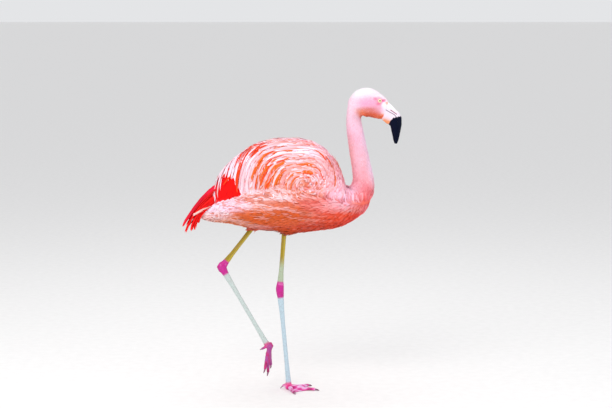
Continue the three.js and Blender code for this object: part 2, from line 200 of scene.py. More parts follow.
def spread(mesh: Mesh, values: Array, rounds: int) -> Array:
    """Evens values out along a mesh's edges, so that neighbouring regions run into each other.

    Args:
        mesh: The mesh.
        values: One for each vertex.
        rounds: How many times.

    Returns:
        The evened values.
    """
    edges = np.empty(len(mesh.edges) * 2, np.int32)
    mesh.edges.foreach_get("vertices", edges)
    a, b = edges.reshape(-1, 2).T
    count = np.bincount(a, minlength=len(values)) + np.bincount(b, minlength=len(values)) + 1.0
    for _ in range(rounds):
        total = values.copy()
        total += np.bincount(a, weights=values[b], minlength=len(values))
        total += np.bincount(b, weights=values[a], minlength=len(values))
        values = total / count
    return values


def copy_of(names: Sequence[str], grow: float = 0.0) -> bmesh.types.BMesh:
    """Copies CAD nodes into one bmesh, with their loose triangles merged into closed bodies.

    Args:
        names: The nodes.
        grow: How far the bodies are swollen, so that neighbours meet across their clearance.

    Returns:
        A new bmesh, which the caller frees.
    """
    made = bmesh.new()
    for name in names:
        made.from_mesh(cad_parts[name].data)
    bmesh.ops.remove_doubles(made, verts=made.verts, dist=0.02 * MM)
    made.normal_update()
    if grow:
        moved = [(vert, vert.co + vert.normal * grow) for vert in made.verts]
        for vert, place in moved:
            vert.co = place
    return made


def remeshed(name: str, source: bmesh.types.BMesh, voxel: float, rounds: int) -> Piece:
    """Makes one closed, even, smoothed surface of a bmesh, and frees the bmesh.

    Args:
        name: The new piece's name.
        source: The bodies to wrap.
        voxel: The size of the new faces.
        rounds: How many times the surface is smoothed.

    Returns:
        The new piece.
    """
    mesh = bpy.data.meshes.new(name)
    source.to_mesh(mesh)
    source.free()
    piece = link(name, mesh)
    wrap = piece.modifiers.new("wrap", "REMESH")
    wrap.mode = "VOXEL"
    wrap.voxel_size = voxel
    relax = piece.modifiers.new("relax", "SMOOTH")
    relax.factor = 0.5
    relax.iterations = rounds
    settled(piece)
    return piece


def shade(piece: Piece, angle: float | None = None) -> None:
    """Shades a piece smoothly, apart from edges sharper than an angle in degrees."""
    piece.data.polygons.foreach_set("use_smooth", np.ones(len(piece.data.polygons), bool))
    if angle is not None:
        piece.data.set_sharp_from_angle(angle=math.radians(angle))
    piece.data.update()


def graded(value: Array, stops: Sequence[float], *rows: Sequence[float]) -> list[Array]:
    """Lengths in metres that follow a value by its stops, one for each row of millimetres."""
    return [np.interp(value, stops, row) * MM for row in rows]


# ---- The bird's build ----

SIDES = {"left": 1.0, "right": -1.0}
EYE_PLACE = np.array([0.2432, 0.0116, 0.7946])
EYE_RADIUS = 7.4 * MM


def both(*names: str) -> list[str]:
    """The names of nodes that the bird has on its left and on its right."""
    return [f"{name}_{side}" for name in names for side in SIDES]


def eye_frame(side: float) -> tuple[Array, Array]:
    """Where an eye's middle is, and which way the eye looks."""
    middle = EYE_PLACE * np.array([1.0, side, 1.0])
    return middle, unit(np.array([0.15, side, 0.1]))


@dataclass(frozen=True)
class Spine:
    """The middle line of the neck and head, from the breast to the root of the bill."""

    # x and z in millimetres.
    places: Rows = (
        (120, 520), (163, 515), (190, 535), (201, 570), (198, 604), (187.5, 659), (177.5, 716), (174, 752),
        (181, 779), (199, 791), (222, 787), (247, 774), (272, 762),
    )
    steps: int = 14

    def line(self) -> Array:
        """Runs a smooth line through the places.

        Returns:
            Rows of x, z.
        """
        knots = np.array(self.places) / 1000
        padded = np.vstack([2 * knots[0] - knots[1], knots, 2 * knots[-1] - knots[-2]])
        share = np.arange(self.steps)[:, None] / self.steps
        rows = []
        for a, b, c, d in zip(padded, padded[1:], padded[2:], padded[3:]):
            rows.append(
                0.5 * (2 * b + (c - a) * share + (2 * a - 5 * b + 4 * c - d) * share**2
                       + (3 * b - a - 3 * c + d) * share**3)
            )
        return np.vstack(rows + [knots[-1:]])

    def locate(self, points: Array) -> tuple[Array, Array, Array, Array]:
        """Finds where points are along the line and around it.

        Args:
            points: Rows of x, y, z.

        Returns:
            The share of the line before each point, the line's direction there, the angle around it (0 at the
            nape, half a turn at the throat) and the distance from it.
        """
        line = self.line()
        course = np.gradient(line, axis=0)
        course /= norm(course, axis=1, keepdims=True)
        run = np.concatenate([[0.0], np.cumsum(norm(np.diff(line, axis=0), axis=1))])
        nearest = np.empty(len(points), int)
        for start in range(0, len(points), 20000):
            part = points[start : start + 20000][:, (0, 2)]
            gap = ((part[:, None, :] - line[None]) ** 2).sum(axis=2)
            nearest[start : start + 20000] = gap.argmin(axis=1)
        ahead = course[nearest]
        away = points[:, (0, 2)] - line[nearest]
        nape = -away[:, 0] * ahead[:, 1] + away[:, 1] * ahead[:, 0]
        angle = np.arctan2(points[:, 1], nape)
        distance = np.hypot(np.hypot(*away.T), points[:, 1])
        return run[nearest] / run[-1], ahead, angle, distance


SPINE = Spine()


@dataclass(frozen=True)
class Lie:
    """Which way the plumage lies at each place on the bird, from a feather's root to its tip."""

    swirl: tuple[float, float] = (0.047, 0.577)
    # At each angle in degrees, how many millimetres out the rings are at half, nine tenths and all of their share.
    rings: Rows = (
        (-60, 48, 86, 96), (-30, 52, 95, 104), (0, 54, 99, 107), (30, 55, 102, 110), (60, 60, 112, 121),
        (90, 62, 114, 124), (110, 65, 122, 130), (125, 74, 141, 147), (135, 84, 154, 161), (145, 95, 168, 179),
        (155, 102, 179, 199), (166, 108, 182, 221), (176, 113, 184, 240), (187, 119, 185, 254), (200, 124, 188, 263),
        (240, 137, 214, 303),
    )
    # x and z of the folded wing's lower edge, in millimetres.
    wing_edge: Rows = (
        (-300, 470), (-207, 511), (-165, 530), (-120, 543), (-80, 556), (-45, 573), (-10, 576), (20, 561),
        (50, 548), (80, 539), (110, 532), (138, 526), (170, 520),
    )
    # Places below the wing in millimetres, and the way that the plumage lies at each.
    guides: Rows = (
        (60, 80, 500, -1, 0, -0.05), (-20, 80, 510, -1, 0, 0), (-100, 60, 500, -1, 0, -0.05), (50, 0, 440, -1, 0, 0),
        (-100, 0, 450, -1, 0, 0), (200, 20, 500, -0.8, 0, -0.6), (170, 60, 520, -0.95, 0.1, -0.25),
        (-200, 20, 490, -1, 0, -0.1), (140, 10, 600, -0.6, 0, 0.8), (90, 20, 670, -1, 0, 0.3),
        (-170, 0, 580, -0.6, 0, -0.75), (-220, 0, 510, -0.8, 0, -0.5), (130, 75, 560, -0.9, 0, 0),
        (20, 90, 550, -1, 0, 0.45), (-30, 80, 555, -1, 0, 0.35), (-80, 70, 535, -1, 0, 0), (80, 80, 535, -1, 0, 0.25),
    )

    def reaches(self, turn: Array) -> list[Array]:
        """How far out the rings are at half, nine tenths and the whole of their share, at angles in degrees."""
        table = np.array(self.rings)
        return [np.interp(turn, table[:, 0], table[:, column] / 1000) for column in (1, 2, 3)]

    def ring_place(self, turn: Array, share: Array) -> Array:
        """Finds places on the swirl's rings.

        Args:
            turn: Angles in degrees.
            share: Shares of the rings.

        Returns:
            Rows of x, z.
        """
        half, most, whole = self.reaches(turn)
        reach = np.select(
            [share < 0.5, share < 0.9, share < 1.0],
            [share * 2.0 * half, half + (share - 0.5) / 0.4 * (most - half),
             most + (share - 0.9) / 0.1 * (whole - most)],
            share * whole,
        )
        rad = np.radians(turn)
        return joined(self.swirl[0] + reach * np.cos(rad), self.swirl[1] + reach * np.sin(rad))

    def ring_of(self, points: Array) -> tuple[Array, Array]:
        """Finds where points lie on the swirl's rings.

        Args:
            points: Rows of x, y, z.

        Returns:
            Their angles in degrees and their shares of the rings.
        """
        across, up = points[:, 0] - self.swirl[0], points[:, 2] - self.swirl[1]
        turn = np.degrees(np.arctan2(up, across))
        turn = np.where(turn < -90, turn + 360, turn)
        reach = np.hypot(across, up)
        half, most, whole = self.reaches(turn)
        share = np.select(
            [reach < half, reach < most, reach < whole],
            [0.5 * reach / half, 0.5 + 0.4 * (reach - half) / (most - half),
             0.9 + 0.1 * (reach - most) / (whole - most)],
            reach / whole,
        )
        return turn, share

    def over_wing(self, points: Array) -> Array:
        """How far points are above the wing's lower edge, in metres."""
        return points[:, 2] - np.interp(points[:, 0], *np.array(self.wing_edge).T / 1000)

    def neck_share(self, points: Array) -> Array:
        """1 on the neck and head, 0 on the body."""
        return smooth(points[:, 2], 0.520, 0.570) * smooth(points[:, 0], 0.146, 0.160)

    def direction(self, points: Array, normals: Array) -> Array:
        """Finds the lie at points on the skin.

        Args:
            points: Rows of x, y, z.
            normals: The skin's normals there.

        Returns:
            Unit vectors along the skin.
        """
        turn, share = self.ring_of(points)
        step = self.ring_place(turn + 2.0, share) - self.ring_place(turn - 2.0, share)
        wing = unit(joined(step[:, 0], np.zeros(len(step)), step[:, 1]))
        wing *= smooth(share, 0.0, 0.25)[:, None]
        folded = points * np.array([1.0, 0.0, 1.0])
        folded[:, 1] = np.abs(points[:, 1])
        low, total = np.zeros_like(points), np.zeros(len(points))
        for guide in np.array(self.guides):
            weight = 1.0 / (((folded - guide[:3] / 1000) ** 2).sum(axis=1) + 4e-4) ** 2
            low += weight[:, None] * unit(guide[3:])
            total += weight
        low = unit(low / total[:, None])
        low[:, 1] *= np.sign(points[:, 1])
        _, ahead, _, _ = SPINE.locate(points)
        neck = -joined(ahead[:, 0], np.zeros(len(ahead)), ahead[:, 1])
        way = blend(low, wing, smooth(self.over_wing(points), -0.004, 0.008))
        way = blend(way, neck, self.neck_share(points))
        way -= normals * (way * normals).sum(axis=1, keepdims=True)
        return unit(way)


LIE = Lie()


@dataclass(frozen=True)
class Bands:
    """Soft stripes along the lie, by which neighbouring feathers share a tone."""

    seed: int = 5
    size: int = 128

    def noise(self, across: Array, along: Array) -> Array:
        """A smooth random value at places on a grid.

        Args:
            across: How far across the grid.
            along: How far along it.

        Returns:
            Values from 0 to 1.
        """
        grid = np.random.default_rng(self.seed).random((self.size, self.size))
        i, j = np.floor(across).astype(int), np.floor(along).astype(int)
        u, v = smooth(across - i, 0.0, 1.0), smooth(along - j, 0.0, 1.0)
        i, j = i % self.size, j % self.size
        k, m = (i + 1) % self.size, (j + 1) % self.size
        low = grid[i, j] * (1 - u) + grid[k, j] * u
        high = grid[i, m] * (1 - u) + grid[k, m] * u
        return low * (1 - v) + high * v

    def at(self, points: Array) -> Array:
        """Finds the stripes' value at points on the plumage.

        Args:
            points: Rows of x, y, z.

        Returns:
            Values from 0 to 1.
        """
        turn, share = LIE.ring_of(points)
        side = 40.0 * (points[:, 1] > 0)
        wing = self.noise(share * 15.0 + side, turn / 35.0 + 20.0)
        x, y, z = points.T
        rise = z + 0.12 * x + 0.35 * np.abs(y)
        low = self.noise(rise / (8 * MM) + side, x / (60 * MM) + 50.0)
        return blend(low[:, None], wing[:, None], smooth(LIE.over_wing(points), -0.002, 0.004))[:, 0]


BANDS = Bands()


@dataclass(frozen=True)
class Patch:
    """A soft-edged area of one colour, alike on both sides of the bird."""

    place: Point
    size: Point
    colour: str
    strength: float = 1.0
    edge: float = 0.6

    def share(self, points: Array) -> Array:
        """How much of the patch's colour each point has."""
        folded = joined(points[:, 0], np.abs(points[:, 1]), points[:, 2])
        gap = norm((folded - np.array(self.place)) / np.array(self.size), axis=1)
        return self.strength * (1.0 - smooth(gap, 1.0 - self.edge, 1.0 + self.edge))


def patch_rows(*rows: tuple[float | str, ...]) -> tuple[Patch, ...]:
    """Makes patches of rows.

    Args:
        *rows: Place and size in millimetres, then colour, strength and edge.

    Returns:
        The patches.
    """
    made = []
    for row in rows:
        across = np.array(row[:6], float) / 1000
        made.append(Patch(tuple(across[:3]), tuple(across[3:]), *row[6:]))
    return tuple(made)


@dataclass(frozen=True)
class Markings:
    """The bird's colours, which the skin and every feather share."""

    body: str = "e67e6e"
    neck: tuple[tuple[float, str], ...] = (
        (0.10, "f0705c"), (0.20, "f48e98"), (0.30, "f9a6b4"), (0.42, "fabfd0"), (0.55, "fabed6"),
        (0.66, "fcd2e6"), (0.76, "fcd8ea"), (0.86, "fee6f2"), (1.00, "fde8f2"),
    )
    patches: tuple[Patch, ...] = patch_rows(
        # The underparts: deep orange below, with painted shade darkening the bottom of the belly to brown and deepening
        # the lower breast's red, paler and pinker to the rear.
        (0, 0, 440, 180, 100, 38, "c8430c", 0.95, 0.5), (20, 0, 430, 100, 60, 24, "8c3210", 0.85),
        (165, 0, 470, 80, 90, 42, "e43018", 0.95, 0.55), (90, 30, 450, 80, 60, 28, "cc3a18", 0.8),
        (150, 70, 548, 46, 70, 36, "fdcce6", 0.95, 0.5), (132, 70, 550, 26, 70, 36, "fcc8e6", 0.6),
        (214, 0, 520, 32, 60, 46, "f06470", 0.85), (164, 0, 652, 14, 30, 50, "f8a8a8", 0.6),
        (226, 0, 635, 16, 50, 60, "ffe6fe", 0.8), (206, 0, 700, 14, 50, 40, "ffe6fe", 0.6),
        (100, 90, 515, 60, 40, 22, "f47c84", 0.7), (30, 90, 515, 70, 40, 25, "e87a70", 0.7),
        (-60, 80, 552, 55, 50, 14, "fde4f0", 0.85, 0.5), (-20, 90, 505, 80, 50, 16, "e06c4c", 0.6),
        (-70, 80, 510, 80, 50, 30, "ee947c", 0.7), (-130, 50, 478, 55, 60, 22, "da6c34", 0.85),
        (-205, 20, 502, 45, 60, 32, "f6e0ff", 0.95, 0.45), (-180, 40, 482, 28, 60, 14, "e0906c", 0.7),
        (-45, 90, 490, 80, 60, 20, "d45614", 0.9, 0.5), (20, 90, 490, 60, 60, 18, "d05420", 0.85, 0.5),
        (-82, 80, 487, 50, 60, 18, "dc5c10", 0.7), (-98, 70, 477, 45, 60, 14, "c85010", 0.7),
        # The greyish lilac at the rump's lower rear (-188, 40, 490) is painted shade.
        (115, 70, 490, 45, 60, 18, "ec4c1c", 0.7), (-188, 40, 490, 30, 60, 16, "dca0a8", 0.6),
        (-70, 80, 535, 50, 50, 12, "fac4c4", 0.8), (-35, 80, 549, 70, 50, 13, "fcd0d4", 0.75, 0.5),
        (-150, 50, 520, 45, 40, 20, "fbd2ec", 0.85, 0.5), (-235, 10, 482, 30, 40, 14, "f2a488", 0.7),
        # The folded wing: pale swirl, salmon wrist, the whitish back.
        (10, 80, 620, 115, 70, 60, "f8c6c4", 0.85), (-90, 60, 610, 80, 60, 60, "fadae8", 0.85),
        (-10, 60, 656, 100, 60, 19, "fce4f4", 0.85), (110, 80, 600, 34, 60, 50, "fbb6c4", 0.85),
        (125, 40, 570, 30, 60, 35, "faaec0", 0.8), (95, 0, 660, 45, 70, 34, "fab4c8", 0.85),
        (35, 0, 692, 60, 60, 14, "fcdcf4", 0.95, 0.7), (-60, 0, 692, 60, 60, 14, "fac8c8", 0.7, 0.7),
        (-170, 50, 610, 50, 60, 50, "fac0d0", 0.8), (-40, 80, 571, 11, 40, 6, "e41410", 0.9, 0.5),
        (38, 80, 586, 9, 40, 5, "c83048", 0.85), (-2, 80, 574, 6, 40, 8, "d83050", 0.75),
        (44, 80, 566, 12, 40, 4, "e87090", 0.75), (-20, 80, 580, 95, 60, 22, "f09080", 0.85),
        (30, 80, 605, 70, 60, 36, "f08c78", 0.8), (90, 80, 585, 34, 60, 30, "f9a0a6", 0.7),
        (0, 80, 586, 40, 60, 28, "f08c7c", 0.8), (-175, 30, 468, 70, 80, 13, "d87848", 0.9, 0.5),
        # The head: whitish crown, partly painted highlight where the light falls on the top of the head, pink cheek,
        # orange throat.
        (195, 0, 824, 50, 30, 19, "fffaff", 0.92), (238, 0, 810, 34, 12, 12, "fff6fc", 0.9, 0.5),
        (215, 20, 786, 30, 18, 18, "f8aad2", 0.85), (224, 20, 770, 28, 18, 12, "f6a4c0", 0.85),
        (243, 18, 794.5, 11, 10, 11, "fa9cb8", 0.85, 0.5), (231, 18, 800.5, 5, 8, 4, "f0609a", 0.6),
        (239.5, 18, 787, 6, 8, 3.5, "f0709a", 0.6), (254, 14, 795.5, 7, 8, 3.5, "f0509a", 0.8, 0.5),
        (263, 10, 788, 6, 7, 4, "f8a070", 0.8, 0.5), (256, 12, 780, 7, 10, 10, "e8ecfc", 0.9, 0.4),
        # The dull pink at the back of the throat's angle (184, 10, 757) is painted shade.
        (220, 10, 772.7, 16, 20, 3, "f080a4", 0.6), (184, 10, 757, 15, 20, 20, "e8b0c2", 0.6),
        (244, 18, 772, 12, 14, 10, "f4b0cc", 0.6), (209, 20, 769, 27, 22, 9, "e8826c", 0.75),
        (196, 0, 763, 18, 22, 12, "ee7c4c", 0.85, 0.5), (222, 0, 757, 34, 24, 13, "e8602c", 0.95, 0.4),
        (250, 0, 752, 16, 20, 9, "ea6a30", 0.95, 0.45), (205, 0, 752, 20, 16, 5, "c8481c", 0.7),
    )

    # The bright area behind the wings, which the long pale locks hang over.
    crimson: tuple[Patch, ...] = patch_rows(
        (-165, 50, 565, 50, 60, 45, "fa0e06", 1.0, 0.25), (-195, 30, 560, 40, 50, 45, "f4080c", 1.0, 0.35),
    )

    def colour(self, points: Array, bright: bool = False) -> Array:
        """The colour at each point, in linear red, green and blue.

        Args:
            points: Rows of x, y, z.
            bright: Whether the crimson behind the wings shows, as it does under the long locks.

        Returns:
            Rows of red, green and blue.
        """
        along, _, _, _ = SPINE.locate(points)
        stops = np.array([stop for stop, _ in self.neck])
        tints = np.array([linear(code) for _, code in self.neck])
        neck = np.stack([np.interp(along, stops, tints[:, i]) for i in range(3)], axis=1)
        base = np.broadcast_to(linear(self.body), points.shape)
        made = blend(base, neck, LIE.neck_share(points))
        for patch in self.patches + (self.crimson if bright else ()):
            made = blend(made, linear(patch.colour), patch.share(points))
        return made


MARKINGS = Markings()


@dataclass(frozen=True)
class Leg:
    """The joints of one leg, as the points its bones run between, and the colours of its bare skin."""

    sleeve: Point
    ankle: Point
    foot: Point
    toe: Point
    # The paler yellow along the shin's front edge is a painted highlight.
    tibia_lit_edge: str = "c2ae3e"
    tibia: str = "9a840a"
    tibia_pale: str = "adbfa6"
    ankle_tint: str = "c41b8d"
    tarsus: str = "b8cfda"
    toes: str = "e0409c"
    # Pale lilac patches on the toes are painted highlights, and the dark ones are painted shade.
    toe_highlight: str = "ecc4ee"
    toe_shade: str = "a01c5c"
    knuckle: str = "f00c78"
    # The pale spots at the joints are partly mottling and partly painted highlight.
    joint_pale: str = "f090cc"
    joint_dark: str = "b81470"
    pale: float = 0.0
    ankle_half: float = 23 * MM

    def colour(self, points: Array) -> Array:
        """Colours this leg's bare skin.

        Args:
            points: Rows of x, y, z.

        Returns:
            Rows of red, green and blue.
        """
        sleeve, ankle, foot = (np.array(place) for place in (self.sleeve, self.ankle, self.foot))
        shin, bone = ankle - sleeve, foot - ankle
        up = -((points - ankle) @ unit(shin))
        down = (points - ankle) @ unit(bone)
        high, near = [ankle[2], sleeve[2]], [ankle[0], sleeve[0]]
        # The shin's front edge, which gets the painted highlight.
        lit_edge = smooth(points[:, 0] - np.interp(points[:, 2], high, near), 0.0, 3 * MM)
        middle = np.where(down < 0, np.abs(up), np.abs(down))
        gone = norm(points - foot, axis=1)
        length = norm(bone)
        on_toes = smooth(down, length - 10 * MM, length)
        cells = points / np.array([14 * MM, 5.5 * MM, 10 * MM])
        patchy = BANDS.noise(cells[:, 1] + 0.7 * cells[:, 2], cells[:, 0])
        spots = BANDS.noise(points[:, 2] / (8 * MM), points[:, 0] / (7 * MM) + 9.0)
        half = self.ankle_half
        joint = (1 - smooth(middle, half - 6 * MM, half)) + (1 - smooth(gone, 8 * MM, 15 * MM))
        joint = np.minimum(joint, 1.0)
        made = np.broadcast_to(linear(self.tibia), points.shape)
        for code, share in (
            # Painted highlight along the shin's front edge.
            (self.tibia_lit_edge, 0.7 * lit_edge),
            (self.tibia_pale, self.pale * smooth(up / norm(shin), 0.62, 0.35)),
            (self.tarsus, smooth(down, 0.0, 6 * MM)),
            (self.ankle_tint, 1 - smooth(middle, half - 4 * MM, half + 3 * MM)),
            (self.toes, smooth(down, length - 14 * MM, length - 4 * MM)),
            # Pale lilac patches on the toes are painted highlights, and the dark ones are painted shade.
            (self.toe_highlight, 0.85 * on_toes * smooth(patchy, 0.42, 0.72)),
            (self.toe_shade, 0.65 * on_toes * smooth(patchy, 0.36, 0.14)),
            (self.knuckle, 0.9 * (1 - smooth(gone, 6 * MM, 15 * MM))),
            # Pale spots at the joints, partly painted highlight.
            (self.joint_pale, 0.45 * joint * smooth(spots, 0.66, 1.0)),
            (self.joint_dark, 0.5 * joint * smooth(spots, 0.4, 0.1)),
        ):
            made = blend(made, linear(code), share)
        return made


LEGS = {
    "right": Leg((-0.014, -0.015, 0.434), (-0.026, -0.008, 0.280), (-0.002, 0.0, 0.011), (0.060, -0.012, 0.006),
                 pale=0.9),
    # The raised left foot's darker toes, lilac patches, dark patches and knuckle are painted shade on the same colours
    # as the right foot.
    "left": Leg((-0.104, 0.034, 0.441), (-0.186, 0.028, 0.336), (-0.060, 0.025, 0.117), (-0.058, 0.024, 0.048),
                tarsus="c2d0cc", toes="c42472", toe_highlight="a84c98", toe_shade="780c4c", knuckle="e8187c"),
}


# ---- The skin ----


@dataclass
class Hide:
    """One skin over all the flesh, with the lids, the folds of the face and the bare legs.

    Attributes:
        depth: How thick the plumage is over each part, in metres.
        voxel: The size of the skin's faces on the body.
        leg_voxel: The size of its faces on the legs.
        body_rounds: How many times the body is evened out.
        body_nodes: The flesh on the bird's middle line.
        paired_nodes: The flesh that it has on either side.
        leg_nodes: The parts of a bare leg.
        down: The colour of the skin under the plumage, a deep orange that is partly painted bounce light, so that the
            shaded gaps between the feathers look orange.
        face_reach: How far the lids and their folds reach from an eye's middle.
        opening: How far out the lids' edge is.
        lid: How thick the lids are.
        hug: How far out the lids lie close on the eyeball.
        tuck: How far the skin dips under the eyeball.
        hollow: The hollow before the eye: how far ahead and up, its size both ways and its depth.
        thin: The share of the coat's depth that is left at the bill.
        leg_top: How much of a leg's upper end is drawn up.
        leg_root: How far it is drawn up into the thigh, in millimetres.
        folds: How far out each fold round the eye is and how deep, in millimetres.
    """

    depth: dict[str, float] = field(default_factory=lambda: {
        "head": 1.3 * MM, "eye": 1.0 * MM, "neck_upper": 2.4 * MM, "neck_middle": 2.8 * MM,
        "neck_lower": 3.4 * MM, "breast": 5.5 * MM, "trunk": 6.5 * MM, "rump": 7 * MM, "wing": 7 * MM,
        "tertials": 6 * MM, "thigh": 4 * MM,
    })
    voxel: float = 3.8 * MM
    leg_voxel: float = 1.4 * MM
    body_rounds: int = 14
    body_nodes: tuple[str, ...] = ("head", "neck_upper", "neck_middle", "neck_lower", "breast", "trunk", "rump")
    paired_nodes: tuple[str, ...] = ("wing", "tertials", "thigh", "eye")
    leg_nodes: tuple[str, ...] = ("tibia", "ankle", "tarsus", "foot", "hallux")
    down: str = "ee6a48"
    face_reach: float = 16 * MM
    opening: float = 5.1 * MM
    lid: float = 0.55 * MM
    hug: float = 6.6 * MM
    tuck: float = 1.8 * MM
    hollow: tuple[float, ...] = (10.5 * MM, -9 * MM, 4 * MM, 9 * MM, 1.1 * MM)
    thin: float = 0.35
    leg_top: float = 1.5 * MM
    leg_root: float = 20.0
    folds: Rows = ((7.6, 0.45), (9.6, 0.25))

    def owners(self) -> tuple[BVHTree, Array]:
        """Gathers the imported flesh.

        Returns:
            A search tree over it, and the coat's depth over each of its faces.
        """
        points, faces, depths = [], [], []
        for name in list(self.body_nodes) + both(*self.paired_nodes):
            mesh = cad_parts[name].data
            first = len(points)
            points.extend(tuple(vert.co) for vert in mesh.vertices)
            faces.extend([first + i for i in face.vertices] for face in mesh.polygons)
            part = name if name in self.depth else name.rsplit("_", 1)[0]
            depths.extend([self.depth[part]] * len(mesh.polygons))
        return BVHTree.FromPolygons(points, faces), np.array(depths)

    def refine(self, piece: Piece, near: Callable[[Vector], bool], rounds: int) -> None:
        """Splits the skin's faces where a test holds, and evens the new ones out.

        Args:
            piece: The skin.
            near: The test of a place.
            rounds: How many times.
        """
        made = bmesh.new()
        made.from_mesh(piece.data)
        for _ in range(rounds):
            edges = [edge for edge in made.edges if near(edge.verts[0].co) and near(edge.verts[1].co)]
            bmesh.ops.subdivide_edges(made, edges=edges, cuts=1, use_grid_fill=True)
            close = [vert for vert in made.verts if near(vert.co)]
            for _ in range(2):
                bmesh.ops.smooth_vert(
                    made, verts=close, factor=0.5, use_axis_x=True, use_axis_y=True, use_axis_z=True
                )
        made.to_mesh(piece.data)
        made.free()

    def ease(self, piece: Piece) -> None:
        """Rounds off the facets and joins of the body and the folded wings, so that feathers lie evenly on it."""
        points = points_of(piece.data)
        eased = np.stack([spread(piece.data, points[:, axis], self.body_rounds) for axis in range(3)], axis=1)
        body = smooth(points[:, 0], 0.150, 0.120) * smooth(points[:, 2], 0.455, 0.475)
        place_points(piece.data, blend(points, eased, body))

    def sink(self, piece: Piece) -> None:
        """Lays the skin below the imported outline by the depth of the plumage.

        Args:
            piece: The skin.
        """
        tree, depths = self.owners()
        points, normals = points_of(piece.data), normals_of(piece.data)
        depth = np.array([depths[tree.find_nearest(point)[2]] for point in points])
        depth = spread(piece.data, depth, 10)
        feathered = smooth(points[:, 0], 0.262, 0.242) * (points[:, 2] > THROAT_LINE) + (points[:, 2] <= THROAT_LINE)
        depth *= self.thin + (1 - self.thin) * feathered
        place_points(piece.data, points - normals * depth[:, None])

    def lids(self, points: Array) -> Array:
        """Opens the skin over each eye, with a rim, two folds round it and a shallow hollow before it.

        Args:
            points: Rows of x, y, z.

        Returns:
            The moved points.
        """
        made = points.copy()
        for side in SIDES.values():
            middle, axis = eye_frame(side)
            offset = made - middle
            height = offset @ axis
            flat = offset - height[:, None] * axis
            ring = norm(flat, axis=1)
            near = (ring < self.face_reach) & (height > -2 * MM)
            lid = EYE_RADIUS + self.lid
            dome = np.sqrt(np.maximum(lid**2 - ring**2, 0.0))
            under = np.sqrt(np.maximum(EYE_RADIUS**2 - ring**2, 0.0)) - self.tuck
            soft = 0.5 * MM
            raised = soft * np.logaddexp(height / soft, dome / soft)
            raised = np.where(ring < lid, raised, height + (raised - height) * (1 - smooth(ring, lid, lid * 1.2)))
            for fold, depth in self.folds:
                raised -= depth * MM * np.exp(-(((ring / MM - fold) / 0.75) ** 2))
            target = np.minimum(raised, height + 3 * MM)
            capped = np.minimum(target, dome + 0.1 * MM)
            target = np.where(ring < self.hug, np.maximum(capped, dome * 0.98), target)
            share = smooth(ring, self.opening - 0.5 * MM, self.opening + 0.45 * MM)
            target = under + (target - under) * share
            made[near] += (axis * (target - height)[:, None])[near]
            ahead, up, wide, high, deep = self.hollow
            hollow = np.exp(-(((offset[:, 0] - ahead) / wide) ** 2 + ((offset[:, 2] - up) / high) ** 2))
            made[:, 1] -= side * deep * hollow * (np.sign(points[:, 1]) == side) * (points[:, 2] > CHEEK_HEIGHT)
        return made

    def leg(self, side: str) -> Piece:
        """Makes one bare leg as a closed surface whose upper end runs up inside the thigh.

        Args:
            side: left or right.

        Returns:
            The leg.
        """
        plan = LEGS[side]
        source = copy_of([f"{name}_{side}" for name in self.leg_nodes], grow=0.2 * MM)
        shin = Vector(plan.sleeve) - Vector(plan.ankle)
        shin.normalize()
        top = max(vert.co.dot(shin) for vert in source.verts)
        for vert in source.verts:
            if vert.co.dot(shin) > top - self.leg_top:
                vert.co += shin * self.leg_root * MM
        piece = remeshed(f"leg_{side}", source, self.leg_voxel, 3)
        points = points_of(piece.data)
        points[:, 2] = np.maximum(points[:, 2], 0.0)
        place_points(piece.data, points)
        return piece

    def build(self) -> Piece:
        """Makes the whole skin.

        Returns:
            The skin, triangulated, with its colours and the place of its scales stored on it.
        """
        source = copy_of(list(self.body_nodes) + both(*self.paired_nodes), grow=0.5 * MM)
        skin = remeshed("skin", source, self.voxel, 6)
        self.refine(skin, lambda co: co.x > 0.150 and co.z > 0.735, 1)
        self.refine(skin, lambda co: co.x > 0.205 and co.z > 0.735, 1)
        eyes = [Vector(eye_frame(side)[0]) for side in SIDES.values()]
        self.refine(skin, lambda co: min((co - eye).length for eye in eyes) < 13 * MM and abs(co.y) > 4 * MM, 1)
        self.ease(skin)
        self.sink(skin)
        place_points(skin.data, self.lids(points_of(skin.data)))
        for side in SIDES:
            self.join(skin, self.leg(side))
        made = bmesh.new()
        made.from_mesh(skin.data)
        bmesh.ops.triangulate(made, faces=made.faces)
        made.to_mesh(skin.data)
        made.free()
        self.paint(skin)
        shade(skin)
        return skin

    def join(self, skin: Piece, leg: Piece) -> None:
        """Grows a leg onto the skin, as one surface.

        Args:
            skin: The skin.
            leg: The leg, which is used up.
        """
        union = skin.modifiers.new("join", "BOOLEAN")
        union.operation = "UNION"
        union.solver = "MANIFOLD"
        union.object = leg
        before = len(skin.data.polygons)
        settled(skin)
        if len(skin.data.polygons) < before:
            raise RuntimeError(f"{leg.name} did not join the skin")
        bpy.data.objects.remove(leg)

    def paint(self, skin: Piece) -> None:
        """Stores the markings, where the skin is bare, and the place along and around each leg.

        Args:
            skin: The skin.
        """
        points = points_of(skin.data)
        bare = bare_face(points)
        colour = MARKINGS.colour(points, bright=True)
